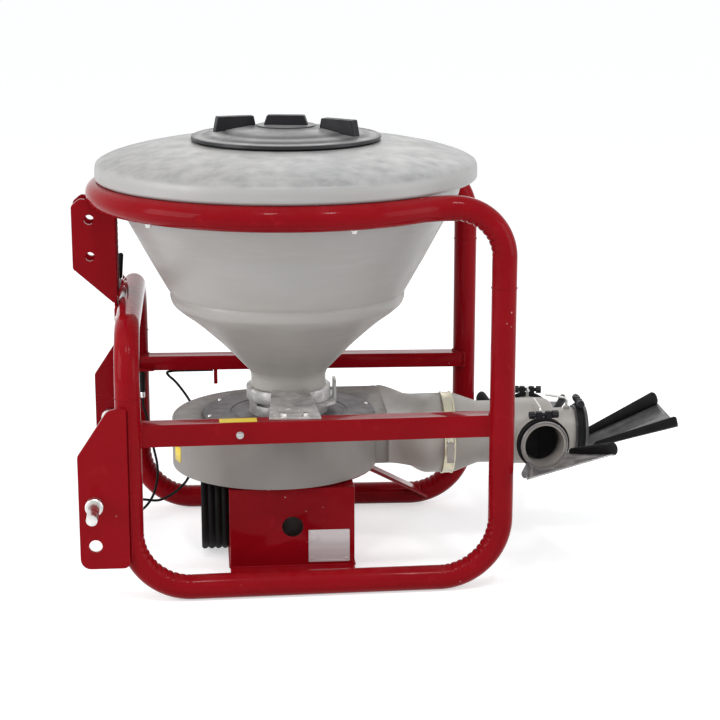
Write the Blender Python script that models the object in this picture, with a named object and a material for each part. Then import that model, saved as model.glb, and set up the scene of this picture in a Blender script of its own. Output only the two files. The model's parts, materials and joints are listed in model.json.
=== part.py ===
"""Tractor-mounted powder spreader: a hopper and a fan in a tube frame with a three-point hitch.

Metres, +Z up, +X towards the machine's rear, +Y towards its left side. Every piece is laid out
from the hopper's axis on the ground, and the datum empty carries that layout to the place where
the origin is the middle of the whole machine.
"""
import math

import bmesh
import bpy
from mathutils import Matrix, Vector

for old in list(bpy.data.objects):
    bpy.data.objects.remove(old)

# Air between pieces that touch, and between pieces that run in each other
GAP = 0.0003
RUNNING = 0.0006

# Tube frame: near side is -Y, far side is +Y
TUBE_R = 0.02415
REAR_X = 0.3995
FRONT_X = -0.3164
REAR_HALF_Y = 0.2705
FRONT_HALF_Y = 0.2910
RING_R = 0.3754
RING_Z = 0.7540
RING_BLEND_R = 0.120
RING_DROP_R = 0.097
REAR_FOOT_R = 0.120
FRONT_FOOT_R = 0.115
ARCH_Z = 0.524
ARCH_BEND_R = 0.100
REAR_WELD_Z = 0.600
FRONT_WELD_Z = 0.405
TUBE_SIDES = 16
BEND_STEPS = 6

# Cross bars that carry the hopper's gate
BAR_TOP_Z = 0.3515
BAR_WIDTH = 0.036
BAR_INSET = 0.012
NEAR_BAR_HEIGHT = 0.0432
FAR_BAR_HEIGHT = 0.0310
BAR_WALL = 0.003

# Hitch, category 1
LINK_PLATE = 0.008
LINK_FRONT_X = -0.412
LINK_SHOULDER_X = -0.352
LINK_SHOULDER_Z = 0.301
LINK_TOP_Z = 0.391
LINK_FOOT_Z = 0.078
LINK_PIN_X = -0.3825
LINK_PIN_Z = 0.2056
LINK_PIN_R = 0.011
LINK_HALF_SPAN = 0.3415
LINK_PIN_LENGTH = 0.076
LINK_COLLAR_R = 0.017
LINK_SPARE_HOLE_Z = 0.1235
LINK_SPARE_HOLE_R = 0.0125
TOP_PLATE = 0.008
TOP_BACK_T = 0.006
TOP_HALF_GAP = 0.026
TOP_HOLE_R = 0.0097
TOP_LOW_HOLE_R = 0.0092

# Top link ears: distances before and behind the ring's foremost point, drops below its middle,
# rises above the front arch
EAR_REACH = 0.0516
EAR_BACK = 0.0339
EAR_NOSE_REACH = 0.0346
EAR_NOSE_DROP = 0.010
EAR_FRONT_DROP = 0.024
EAR_FOOT_DROP = 0.150
EAR_HEEL_RISE = 0.007
EAR_BACK_RISE = 0.021
EAR_RING_AIR = 0.0022
TOP_HOLE_REACH = 0.0171
TOP_HOLE_DROP = 0.052
TOP_LOW_HOLE_DROP = 0.126

# Floor plate and pedestal
SHEET = 0.004
FLOOR_PLATE = 0.006
FLOOR_TOP_Z = 0.0230
PEDESTAL_FRONT_X = -0.127
PEDESTAL_REAR_X = 0.121
PEDESTAL_HALF_Y = 0.185
PEDESTAL_FLANGE = 0.028
SIGHT_HOLE_R = 0.021
SIGHT_HOLE_Z = 0.105
STRUT_TOP_Y = 0.080
STRUT_TOP_Z = 0.172
STRUT_FOOT_X = 0.300
STRUT_FOOT_Z = 0.036
STRUT_HALF_T = 0.004
STRUT_HALF_WIDTH = 0.018

# Fan
SCROLL_X = -0.0294
SCROLL_R = 0.2095
SCROLL_BOTTOM_Z = 0.1907
SCROLL_HEIGHT = 0.1003
SCROLL_WALL = 0.004
SCROLL_EDGE_R = 0.007
OUTLET_X = 0.200
TONGUE_Y = -0.044
BASE_PLATE = 0.005
BASE_PLATE_SHIFT = 0.014
BASE_PLATE_INSET = 0.016
INLET_PLATE_R = 0.176
INLET_PLATE_T = 0.005
INLET_R = 0.066
ROTOR_R = 0.150
ROTOR_FLOOR_GAP = 0.006
ROTOR_DISC = 0.003
BLADE_HEIGHT = 0.072
BLADE_COUNT = 6
BLADE_T = 0.004
FAN_HUB_R = 0.026
SHAFT_R = 0.0095
SHAFT_AIR = 0.003

# Drive: bevel gears in a case, splined input shaft
PTO_Z = 0.095
GEAR_RATIO = 4.0
PINION_R = 0.016
GEAR_FACE = 0.016
CROWN_BACK = 0.016
CROWN_RIM = 0.012
CROWN_RECESS = 0.004
PTO_SPLINE_R = 0.01745
PTO_ROOT_R = 0.0149
SPLINES = 6
PTO_END_X = -0.180
CASE_FRONT_X = -0.092
CASE_REAR_X = 0.050
CASE_HALF_Y = 0.075
CASE_WALL = 0.006
CASE_TOP_Z = 0.176
BEARING_R = 0.031
GUARD_R = 0.0895
GUARD_END_X = -0.183
GUARD_RIBS = 4
GUARD_RIB = 0.0035
GUARD_WALL = 0.005

# Air duct and its strap clamp
DUCT_WALL = 0.004
DUCT_R = 0.082
DUCT_ROUND_X = 0.285
DUCT_JOINT_X = 0.325
CONE_START_X = 0.340
CONE_END_X = 0.390
PIPE_R = 0.064
PIPE_END_X = 0.452
DUCT_SIDES = 24
STRAP_WIDTH = 0.023
STRAP_T = 0.0028
LATCH_WIDTH = 0.014
LATCH_LENGTH = 0.041
LATCH_T = 0.009

# Distributor head with three ports
HEAD_X = 0.500
HEAD_START_X = 0.430
HEAD_DOME_X = 0.522
HEAD_DOME = 0.026
HEAD_WALL = 0.004
PORT_REACH = 0.115
PORT_R = 0.046
PORT_WALL = 0.005
SIDE_PORT_LEAN = 6.7
FLAP_OFFSET = 0.078
FLAP_R = 0.037
FLAP_T = 0.002
SPINDLE_R = 0.0025
HANDLE_RISE = 0.022
HANDLE_ARM = 0.044
BAND_WIDTH = 0.016
BAND_T = 0.0045
BAND_EDGE = 0.003
SCREW_R = 0.004
SCREW_HALF = 0.030
KNOB_R = 0.008
KNOB_LENGTH = 0.013
LUG_HEIGHT = 0.014
LUG_HALF = 0.016

# Fishtail deflectors
SPOUT_T = 0.0022
SPOUT_SLEEVE = 0.024
SPOUT_RUN = 0.178
SPOUT_TIP_HALF = 0.090
SPOUT_TIP_RISE = {"near": 0.007, "rear": 0.028, "far": -0.018}
SPOUT_LIP = 0.022
NEAR_SPOUT_ROLL = 13.0

# Hopper: outer profile from the lid's seat down to the neck, radius and height
HOPPER_WALL = 0.005
LID_SEAT_R = 0.190
LID_OPENING_R = 0.168
RIM_OVERHANG = 0.0046
RIM_HEIGHT = 0.03355
DOME_RISE = 0.040
NECK_R = 0.076
NECK_TOP_Z = 0.386

# The dome as shares of the way out and down from the lid's seat to the rim, and the cone as shares
# of the way out and up from the neck to the ring
DOME_SHARES = ((0.197, 0.075), (0.470, 0.250), (0.743, 0.512), (0.918, 0.762))
CONE_SHARES = ((0.849, 0.799), (0.767, 0.684), (0.685, 0.575), (0.594, 0.460), (0.587, 0.398),
               (0.518, 0.353), (0.442, 0.314), (0.365, 0.268), (0.202, 0.159), (0.057, 0.045))

# Lid
LID_R = 0.1887
LID_EDGE = 0.011
LID_HUB_R = 0.059
LID_HUB_RISE = 0.0175
LID_HUB_T = 0.002
LID_SKIN = 0.004
LID_SPIGOT_R = 0.160
LID_SPIGOT_DEPTH = 0.018
GRIP_LENGTH = 0.088
GRIP_WIDTH = 0.022
GRIP_HEIGHT = 0.019

# Grips on the lid: centre and turn of each, the middle one on the hub
GRIPS = ((-0.101, 0.026, 13.0), (0.0, 0.0, -9.0), (0.102, -0.046, -40.0))

# Dosing gate under the hopper
GATE_R = 0.086
GATE_BORE_R = 0.060
SHUTTER_T = 0.005
SHUTTER_Z = 0.321
SHUTTER_HALF_Y = 0.066
SHUTTER_TRAVEL = 0.060
SHUTTER_TAB_X = 0.097
SHUTTER_TAB_TOP_Z = 0.362
BRACKET_T = 0.004
BRACKET_HALF_X = 0.050
AGITATOR_TOP_Z = 0.430
FINGER_LENGTH = 0.050

# Control levers
LEVER_PIVOT_X = -0.3497
LEVER_PIVOT_Z = 0.468
LEVER_T = 0.004
LEVER_WIDTH = 0.009
LEVER_DROP = 0.1205
LEVER_LEAN = {"gate": -1.0, "dose": 4.0}
LEVER_REACH = {"gate": 0.0445, "dose": 0.0757}
LEVER_Y = {"gate": 0.154, "dose": 0.176}
LEVER_SWING = 30.0
HANDGRIP_LENGTH = 0.053
HANDGRIP_R = 0.0055
LEVER_BOLT_R = 0.0025
LEVER_CHEEK = 0.0065
LEVER_TIE = 0.002

# Control cable
CABLE_R = 0.00275
BOOT_R = 0.006
BOOT_LENGTH = 0.048
CABLE_ANCHOR = (-0.306, 0.248)

# Places on the ring's front, on the rim and on the lid's seat
TOP_FRONT_X = -RING_R - EAR_REACH
TOP_BACK_X = -RING_R + EAR_BACK
TOP_HOLE_X = -RING_R - TOP_HOLE_REACH
TOP_HOLE_Z = RING_Z - TOP_HOLE_DROP
TOP_LOW_HOLE_Z = RING_Z - TOP_LOW_HOLE_DROP
LEDGE_Z = RING_Z + TUBE_R + GAP
RIM_R = RING_R + RIM_OVERHANG
RIM_TOP_Z = LEDGE_Z + RIM_HEIGHT
LID_SEAT_Z = RIM_TOP_Z + DOME_RISE

# Overall reach before and behind the hopper's axis, which set the origin
FRONT_REACH = -TOP_FRONT_X
REAR_REACH = HEAD_X + PORT_REACH + SPOUT_RUN
HOPPER_X = (FRONT_REACH - REAR_REACH) / 2

# Heights and places that follow from the sizes above
SCROLL_TOP_Z = SCROLL_BOTTOM_Z + SCROLL_HEIGHT
DUCT_Z = SCROLL_BOTTOM_Z + SCROLL_HEIGHT / 2
BASE_BOTTOM_Z = SCROLL_BOTTOM_Z - GAP - BASE_PLATE
INLET_TOP_Z = SCROLL_TOP_Z + GAP + INLET_PLATE_T
GATE_BOTTOM_Z = INLET_TOP_Z + GAP
NECK_FOOT_Z = BAR_TOP_Z + GAP
SHAFT_TOP_Z = BAR_TOP_Z - 0.006
LINK_PLATE_Y = FRONT_HALF_Y + TUBE_R + GAP
BLADE_BOTTOM_Z = SCROLL_BOTTOM_Z + ROTOR_FLOOR_GAP


def make_material(name, colour, roughness, metallic=0.0):
    """A plain Principled finish."""
    material = bpy.data.materials.new(name)
    material.use_nodes = True
    shader = material.node_tree.nodes["Principled BSDF"]
    shader.inputs["Base Color"].default_value = (*colour, 1.0)
    shader.inputs["Roughness"].default_value = roughness
    shader.inputs["Metallic"].default_value = metallic
    return material


RED_PAINT = make_material("red_paint", (0.40, 0.012, 0.018), 0.28)
ZINC = make_material("zinc", (0.62, 0.61, 0.56), 0.35, 1.0)
STEEL = make_material("steel", (0.45, 0.45, 0.46), 0.35, 1.0)
CAST_ALUMINIUM = make_material("cast_aluminium", (0.62, 0.62, 0.60), 0.5, 1.0)
HOPPER_PLASTIC = make_material("hopper_plastic", (0.62, 0.62, 0.60), 0.5)
GREY_PLASTIC = make_material("grey_plastic", (0.44, 0.43, 0.41), 0.45)
DARK_PLASTIC = make_material("dark_plastic", (0.055, 0.05, 0.055), 0.55)
BLACK_PLASTIC = make_material("black_plastic", (0.012, 0.012, 0.013), 0.5)
RUBBER = make_material("rubber", (0.015, 0.015, 0.015), 0.75)

DATUM = bpy.data.objects.new("datum", None)
DATUM.location = (HOPPER_X, 0.0, 0.0)
bpy.context.collection.objects.link(DATUM)


def add_object(name, mesh_data, material, pivot=(0.0, 0.0, 0.0)):
    """Put a mesh that is laid out from the hopper's axis into the scene, its origin at pivot."""
    bmesh.ops.recalc_face_normals(mesh_data, faces=mesh_data.faces)
    bmesh.ops.translate(mesh_data, verts=mesh_data.verts, vec=-Vector(pivot))
    mesh = bpy.data.meshes.new(name)
    mesh_data.to_mesh(mesh)
    mesh_data.free()
    mesh.materials.append(material)
    mesh.shade_smooth()
    mesh.set_sharp_from_angle(angle=math.radians(32))
    piece = bpy.data.objects.new(name, mesh)
    piece.parent = DATUM
    piece.location = pivot
    bpy.context.collection.objects.link(piece)
    return piece


def boolean(piece, tool_data, operation):
    """Cut a shape from a piece, or join it to the piece, and give the hidden shape."""
    tool = add_object(piece.name + "_tool", tool_data, piece.data.materials[0])
    tool.hide_render = True
    tool.display_type = "WIRE"
    modifier = piece.modifiers.new(operation.lower(), "BOOLEAN")
    modifier.operation = operation
    modifier.solver = "EXACT"
    modifier.object = tool
    return tool


def cut(piece, tool_data):
    return boolean(piece, tool_data, "DIFFERENCE")


def join(piece, tool_data):
    return boolean(piece, tool_data, "UNION")


def box(low, high):
    """A block between two corners."""
    data = bmesh.new()
    low, high = Vector(low), Vector(high)
    size = Matrix.Diagonal((*(high - low), 1.0))
    bmesh.ops.create_cube(data, size=1.0, matrix=Matrix.Translation((low + high) / 2) @ size)
    return data


def rod(start, end, radius, sides=16, end_radius=None):
    """A round bar, or a cone, between two points."""
    data = bmesh.new()
    start, end = Vector(start), Vector(end)
    turn = (end - start).to_track_quat("Z", "Y").to_matrix().to_4x4()
    bmesh.ops.create_cone(
        data, cap_ends=True, segments=sides, radius1=radius,
        radius2=radius if end_radius is None else end_radius,
        depth=(end - start).length, matrix=Matrix.Translation((start + end) / 2) @ turn)
    return data


def lathe(profile, steps, matrix=Matrix.Identity(4), closed=True):
    """Turn a profile of (radius, height) points about the local Z axis."""
    data = bmesh.new()
    verts = [data.verts.new((radius, 0.0, height)) for radius, height in profile]
    pairs = list(zip(verts, verts[1:]))
    if closed:
        pairs.append((verts[-1], verts[0]))
    edges = [data.edges.new(pair) for pair in pairs]
    bmesh.ops.spin(data, geom=verts + edges, cent=(0, 0, 0), axis=(0, 0, 1), dvec=(0, 0, 0),
                   angle=math.tau, steps=steps, use_merge=True)
    bmesh.ops.remove_doubles(data, verts=data.verts, dist=1e-6)
    bmesh.ops.transform(data, matrix=matrix, verts=data.verts)
    return data


def ring(inner, outer, low, high, steps, matrix=Matrix.Identity(4)):
    """A plain ring between two radii and two heights."""
    return lathe([(inner, low), (outer, low), (outer, high), (inner, high)], steps, matrix)


def circle_points(u, v, radius, steps=20):
    turns = [math.tau * step / steps for step in range(steps)]
    return [(u + radius * math.cos(turn), v + radius * math.sin(turn)) for turn in turns]


def rounded(corners, steps=4):
    """An outline from (u, v, radius) corners, each corner rounded by its radius."""
    points = []
    count = len(corners)
    for index, (u, v, radius) in enumerate(corners):
        here = Vector((u, v))
        if radius == 0:
            points.append((u, v))
            continue
        before = (Vector(corners[index - 1][:2]) - here).normalized()
        after = (Vector(corners[(index + 1) % count][:2]) - here).normalized()
        half = before.angle(after) / 2
        centre = here + (before + after).normalized() * radius / math.sin(half)
        start = here + before * radius / math.tan(half) - centre
        sweep_angle = start.angle_signed(here + after * radius / math.tan(half) - centre)
        for step in range(steps + 1):
            turn = Matrix.Rotation(-sweep_angle * step / steps, 2)
            points.append(tuple(centre + turn @ start))
    return points


def extruded(data, faces, keep=False):
    """Extrude a region of faces, and give its new vertices and faces."""
    grown = bmesh.ops.extrude_face_region(data, geom=faces)["geom"]
    if not keep:
        bmesh.ops.delete(data, geom=faces, context="FACES")
    moved = [item for item in grown if isinstance(item, bmesh.types.BMVert)]
    return moved, [item for item in grown if isinstance(item, bmesh.types.BMFace)]


def plate(outline, thickness, matrix, holes=()):
    """A flat plate from an outline and round holes, its thickness along the matrix's Z."""
    data = bmesh.new()
    edges = []
    for loop in [outline] + [circle_points(*hole) for hole in holes]:
        verts = [data.verts.new((u, v, 0.0)) for u, v in loop]
        edges += [data.edges.new(pair) for pair in zip(verts, verts[1:] + verts[:1])]
    bmesh.ops.triangle_fill(data, use_beauty=True, use_dissolve=False, edges=edges)
    lifted, _ = extruded(data, data.faces[:], keep=True)
    bmesh.ops.translate(data, verts=lifted, vec=(0.0, 0.0, thickness))
    bmesh.ops.transform(data, matrix=matrix, verts=data.verts)
    return data


def upright_xz(y):
    """Outline u along X, v along Z, thickness along +Y from y."""
    return Matrix(((1, 0, 0, 0), (0, 0, 1, y), (0, 1, 0, 0), (0, 0, 0, 1)))


def upright_yz(x):
    """Outline u along Y, v along Z, thickness along +X from x."""
    return Matrix(((0, 0, 1, x), (1, 0, 0, 0), (0, 1, 0, 0), (0, 0, 0, 1)))


def level_xy(z):
    return Matrix.Translation((0.0, 0.0, z))


def along_x(x, y, z):
    """Local Z turned to +X, for turned pieces that lie along the machine."""
    return Matrix.Translation((x, y, z)) @ Matrix.Rotation(math.radians(90), 4, "Y")


def bent(corners, steps=BEND_STEPS):
    """Points of a path through (point, bend radius) corners, round at each corner."""
    points = []
    for index, (corner, radius) in enumerate(corners):
        corner = Vector(corner)
        if radius == 0:
            points.append(corner)
            continue
        before = (Vector(corners[index - 1][0]) - corner).normalized()
        after = (Vector(corners[index + 1][0]) - corner).normalized()
        half = before.angle(after) / 2
        centre = corner + (before + after).normalized() * radius / math.sin(half)
        start = corner + before * radius / math.tan(half) - centre
        axis = before.cross(after)
        sweep_angle = math.pi - 2 * half
        for step in range(steps + 1):
            turn = Matrix.Rotation(-sweep_angle * step / steps, 3, axis)
            points.append(centre + turn @ start)
    return points


def sweep(points, radius, sides, side=Vector((0.0, 1.0, 0.0))):
    """A round bar that follows a path, without twist."""
    data = bmesh.new()
    frames = []
    for index, point in enumerate(points):
        before = points[max(index - 1, 0)]
        after = points[min(index + 1, len(points) - 1)]
        ahead = (after - before).normalized()
        side = (side - ahead * side.dot(ahead)).normalized()
        up = ahead.cross(side)
        frame = Matrix((side, up, ahead)).transposed().to_4x4()
        frames.append(Matrix.Translation(point) @ frame)
    bmesh.ops.create_circle(data, cap_ends=True, radius=radius, segments=sides,
                            matrix=frames[0])
    end = data.faces[:]
    for index, (start, finish) in enumerate(zip(frames, frames[1:])):
        moved, end = extruded(data, end, keep=index == 0)
        bmesh.ops.transform(data, matrix=finish @ start.inverted(), verts=moved)
    return data


def side_y(x):
    """Half distance between the side loops' tubes at a place along the machine."""
    share = (REAR_X - x) / (REAR_X - FRONT_X)
    return REAR_HALF_Y + (FRONT_HALF_Y - REAR_HALF_Y) * share


def mirrored(points):
    return [Vector((point.x, -point.y, point.z)) for point in points]


def hoop_path():
    """Near rear leg, its bend, the blend into the ring, the ring and the same again."""
    blend_cos = (REAR_HALF_Y + RING_BLEND_R) / (RING_R + RING_BLEND_R)
    blend = math.acos(blend_cos)
    blend_x = (RING_R + RING_BLEND_R) * math.sin(blend)
    leg = bent([((REAR_X, -REAR_HALF_Y, REAR_WELD_Z + GAP), 0),
                ((REAR_X, -REAR_HALF_Y, RING_Z), RING_DROP_R),
                ((blend_x, -REAR_HALF_Y, RING_Z), 0)])
    for step in range(1, 4):
        turn = blend * step / 4
        leg.append(Vector((blend_x - RING_BLEND_R * math.sin(turn),
                           -REAR_HALF_Y - RING_BLEND_R * (1 - math.cos(turn)), RING_Z)))
    ring_steps = 24
    arc = []
    for step in range(ring_steps + 1):
        turn = blend - (blend + math.pi / 2) * step / (ring_steps / 2)
        if turn >= -math.pi / 2 - 1e-9:
            arc.append(Vector((RING_R * math.sin(turn), -RING_R * math.cos(turn), RING_Z)))
    near = leg + arc
    return near + mirrored(near)[-2::-1]


def make_frame():
    """The hoop, two side loops, the front arch and the two cross bars."""
    add_object("hoop_tube", sweep(hoop_path(), TUBE_R, TUBE_SIDES), RED_PAINT)
    for name, side in (("near", -1), ("far", 1)):
        rear, front = side * REAR_HALF_Y, side * FRONT_HALF_Y
        loop = bent([((REAR_X, rear, REAR_WELD_Z), 0), ((REAR_X, rear, TUBE_R), REAR_FOOT_R),
                     ((FRONT_X, front, TUBE_R), FRONT_FOOT_R), ((FRONT_X, front, FRONT_WELD_Z), 0)])
        add_object(name + "_side_tube", sweep(loop, TUBE_R, TUBE_SIDES), RED_PAINT)
    arch = bent([((FRONT_X, -FRONT_HALF_Y, FRONT_WELD_Z + GAP), 0),
                 ((FRONT_X, -FRONT_HALF_Y, ARCH_Z), ARCH_BEND_R),
                 ((FRONT_X, FRONT_HALF_Y, ARCH_Z), ARCH_BEND_R),
                 ((FRONT_X, FRONT_HALF_Y, FRONT_WELD_Z + GAP), 0)])
    add_object("front_arch_tube", sweep(arch, TUBE_R, TUBE_SIDES, Vector((1, 0, 0))), RED_PAINT)
    make_bar("near_crossbar", -1, NEAR_BAR_HEIGHT)
    make_bar("far_crossbar", 1, FAR_BAR_HEIGHT)


def make_bar(name, side, height):
    """A rectangular hollow bar between a front and a rear upright, coped to both."""
    front = Vector((FRONT_X, side * (FRONT_HALF_Y - BAR_INSET), 0.0))
    rear = Vector((REAR_X, side * (REAR_HALF_Y - BAR_INSET), 0.0))
    turn = Matrix.Rotation(math.atan2(rear.y - front.y, rear.x - front.x), 4, "Z")
    place = Matrix.Translation(front) @ turn
    length = (rear - front).length
    half = BAR_WIDTH / 2
    data = box((0.0, -half, BAR_TOP_Z - height), (length, half, BAR_TOP_Z))
    bmesh.ops.transform(data, matrix=place, verts=data.verts)
    bar = add_object(name, data, RED_PAINT)
    bore = box((-0.05, -half + BAR_WALL, BAR_TOP_Z - height + BAR_WALL),
               (length + 0.05, half - BAR_WALL, BAR_TOP_Z - BAR_WALL))
    bmesh.ops.transform(bore, matrix=place, verts=bore.verts)
    cut(bar, bore)
    for x, half_y in ((FRONT_X, FRONT_HALF_Y), (REAR_X, REAR_HALF_Y)):
        centre = Vector((x, side * half_y, BAR_TOP_Z - height / 2))
        rise = Vector((0.0, 0.0, height))
        cut(bar, rod(centre - rise, centre + rise, TUBE_R + GAP, 32))


def make_link_plates():
    """Lower hitch plates on the front uprights, each with a fixed pin and a spare hole."""
    outline = rounded([(FRONT_X - 0.002, LINK_TOP_Z, 0.004), (LINK_SHOULDER_X, LINK_TOP_Z, 0.022),
                       (LINK_FRONT_X, LINK_SHOULDER_Z, 0.012), (LINK_FRONT_X, LINK_FOOT_Z, 0.020),
                       (FRONT_X - 0.002, LINK_FOOT_Z, 0.012)])
    holes = [(LINK_PIN_X, LINK_SPARE_HOLE_Z, LINK_SPARE_HOLE_R),
             (LINK_PIN_X, LINK_PIN_Z, LINK_PIN_R + GAP)]
    for name, side in (("near", -1), ("far", 1)):
        inner = side * LINK_PLATE_Y
        low = min(inner, inner + side * LINK_PLATE)
        add_object(name + "_link_plate", plate(outline, LINK_PLATE, upright_xz(low), holes),
                   RED_PAINT)
        collar_y = LINK_PLATE_Y + LINK_PLATE + GAP
        inside_y = LINK_PLATE_Y - 0.016
        end_y = LINK_HALF_SPAN + LINK_PIN_LENGTH
        profile = [(0.0, inside_y), (LINK_COLLAR_R, inside_y),
                   (LINK_COLLAR_R, LINK_PLATE_Y - GAP), (LINK_PIN_R, LINK_PLATE_Y - GAP),
                   (LINK_PIN_R, collar_y), (LINK_COLLAR_R, collar_y),
                   (LINK_COLLAR_R, LINK_HALF_SPAN), (LINK_PIN_R, LINK_HALF_SPAN),
                   (LINK_PIN_R, end_y - 0.003), (LINK_PIN_R - 0.003, end_y), (0.0, end_y)]
        outward = Matrix.Translation((LINK_PIN_X, 0.0, LINK_PIN_Z)) @ Matrix.Rotation(
            math.radians(-90 * side), 4, "X")
        add_object(name + "_link_pin", lathe(profile, 16, outward, closed=False), ZINC)


def make_top_link():
    """Two upright ears before the ring, and between them a back plate from ring to arch."""
    clear = TUBE_R + EAR_RING_AIR
    arc = []
    for degrees in (268, 252, 236, 220, 206):
        turn = math.radians(degrees)
        arc.append((-RING_R + clear * math.cos(turn), RING_Z + clear * math.sin(turn), 0))
    under_ring = RING_Z - clear
    corners = [(TOP_BACK_X, under_ring, 0)] + arc
    corners += [(-RING_R - EAR_NOSE_REACH, RING_Z - EAR_NOSE_DROP, 0.010),
                (TOP_FRONT_X, RING_Z - EAR_FRONT_DROP, 0.010),
                (TOP_FRONT_X, RING_Z - EAR_FOOT_DROP, 0.008),
                (TOP_BACK_X - 0.004, ARCH_Z + EAR_HEEL_RISE, 0.004),
                (TOP_BACK_X, ARCH_Z + EAR_BACK_RISE, 0)]
    outline = rounded(corners)
    holes = [(TOP_HOLE_X, TOP_HOLE_Z, TOP_HOLE_R), (TOP_HOLE_X, TOP_LOW_HOLE_Z, TOP_LOW_HOLE_R)]
    for name, low in (("near", -TOP_HALF_GAP - TOP_PLATE), ("far", TOP_HALF_GAP)):
        add_object(name + "_top_link_ear", plate(outline, TOP_PLATE, upright_xz(low), holes),
                   RED_PAINT)
    half = TOP_HALF_GAP - GAP
    add_object("top_link_back_plate",
               box((TOP_BACK_X - TOP_BACK_T, -half, ARCH_Z), (TOP_BACK_X, half, under_ring)),
               RED_PAINT)


def scroll_outline(inset, end_x, shift=0.0):
    """Fan casing outline: a round drum that opens into a straight outlet at the rear."""
    radius = SCROLL_R - inset
    tongue = TONGUE_Y + inset
    start = math.asin(tongue / radius)
    end = -1.5 * math.pi
    steps = 34
    points = []
    for step in range(steps + 1):
        turn = start + (end - start) * step / steps
        points.append((SCROLL_X + shift + radius * math.cos(turn), radius * math.sin(turn)))
    return points + [(end_x, radius), (end_x, tongue)]


def make_base():
    """Floor plate between the runners, pedestal, the fan's base plate and a strut."""
    reach = [PEDESTAL_FRONT_X, PEDESTAL_REAR_X]
    edge = [side_y(x) - TUBE_R - GAP for x in reach]
    outline = [(reach[0], -edge[0]), (reach[1], -edge[1]), (reach[1], edge[1]), (reach[0], edge[0])]
    add_object("floor_plate", plate(outline, FLOOR_PLATE, level_xy(FLOOR_TOP_Z - FLOOR_PLATE)),
               RED_PAINT)
    low = (PEDESTAL_FRONT_X, -PEDESTAL_HALF_Y, FLOOR_TOP_Z + GAP)
    high = (PEDESTAL_REAR_X, PEDESTAL_HALF_Y, BASE_BOTTOM_Z - GAP)
    pedestal = add_object("pedestal", box(low, high), RED_PAINT)
    cut(pedestal, box((low[0] + SHEET, low[1] + SHEET, low[2] - 0.01),
                      (high[0] - SHEET, high[1] - SHEET, high[2] - SHEET)))
    cut(pedestal, box((low[0] + PEDESTAL_FLANGE, low[1] + PEDESTAL_FLANGE, high[2] - 0.03),
                      (high[0] - PEDESTAL_FLANGE, high[1] - PEDESTAL_FLANGE, high[2] + 0.01)))
    sight = Vector((-0.002, -PEDESTAL_HALF_Y, SIGHT_HOLE_Z))
    cut(pedestal, rod(sight - Vector((0, 0.02, 0)), sight + Vector((0, 0.02, 0)), SIGHT_HOLE_R, 24))
    cut(pedestal, rod((PEDESTAL_FRONT_X - 0.02, 0, PTO_Z), (PEDESTAL_FRONT_X + 0.02, 0, PTO_Z),
                      GUARD_R - 0.022, 32))
    outline = scroll_outline(BASE_PLATE_INSET, OUTLET_X, BASE_PLATE_SHIFT)
    add_object("fan_base_plate", plate(outline, BASE_PLATE, level_xy(BASE_BOTTOM_Z),
                                       [(0.0, 0.0, SHAFT_R + RUNNING, 28)]), RED_PAINT)
    make_strut()


def make_strut():
    """Flat bar from the pedestal's rear wall down to the far runner."""
    start = Vector((PEDESTAL_REAR_X + GAP, STRUT_TOP_Y, STRUT_TOP_Z))
    far_y = side_y(STRUT_FOOT_X) - TUBE_R - GAP - 0.001
    end = Vector((STRUT_FOOT_X, far_y, STRUT_FOOT_Z))
    path = end - start
    data = bmesh.new()
    first, last = [], []
    for u, v in ((-1, -1), (1, -1), (1, 1), (-1, 1)):
        corner = start + Vector((0.0, u * STRUT_HALF_WIDTH, v * STRUT_HALF_T))
        first.append(data.verts.new(corner))
        last.append(data.verts.new(corner + path * ((end.y - corner.y) / path.y)))
    data.faces.new(first)
    data.faces.new(last)
    for index in range(4):
        after = (index + 1) % 4
        data.faces.new((first[index], first[after], last[after], last[index]))
    add_object("base_strut", data, RED_PAINT)


def make_fan_casing():
    """Drum with its floor and outlet, and the dark inlet plate on top."""
    body = plate(scroll_outline(0.0, OUTLET_X), SCROLL_HEIGHT, level_xy(SCROLL_BOTTOM_Z))
    rim = [edge for edge in body.edges
           if all(abs(vert.co.z - SCROLL_TOP_Z) < 1e-6 for vert in edge.verts)
           and len(edge.link_faces) == 2
           and min(abs(face.normal.z) for face in edge.link_faces) < 0.5]
    bmesh.ops.bevel(body, geom=rim, offset=SCROLL_EDGE_R, segments=2, profile=0.5, affect="EDGES",
                    clamp_overlap=True, material=-1)
    casing = add_object("fan_casing", body, GREY_PLASTIC)
    cavity = plate(scroll_outline(SCROLL_WALL, OUTLET_X + 0.03), SCROLL_HEIGHT - 2 * SCROLL_WALL,
                   level_xy(SCROLL_BOTTOM_Z + SCROLL_WALL))
    cut(casing, cavity)
    cut(casing, rod((0, 0, SCROLL_BOTTOM_Z - 0.02), (0, 0, DUCT_Z), SHAFT_R + SHAFT_AIR, 28))
    cut(casing, rod((0, 0, DUCT_Z), (0, 0, SCROLL_TOP_Z + 0.02), ROTOR_R + 0.004, 40))
    low, high = SCROLL_TOP_Z + GAP, INLET_TOP_Z
    profile = [(INLET_R, low), (INLET_PLATE_R, low), (INLET_PLATE_R, high - 0.002),
               (INLET_PLATE_R - 0.002, high), (INLET_R, high)]
    add_object("inlet_plate", lathe(profile, 36), DARK_PLASTIC)


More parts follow.
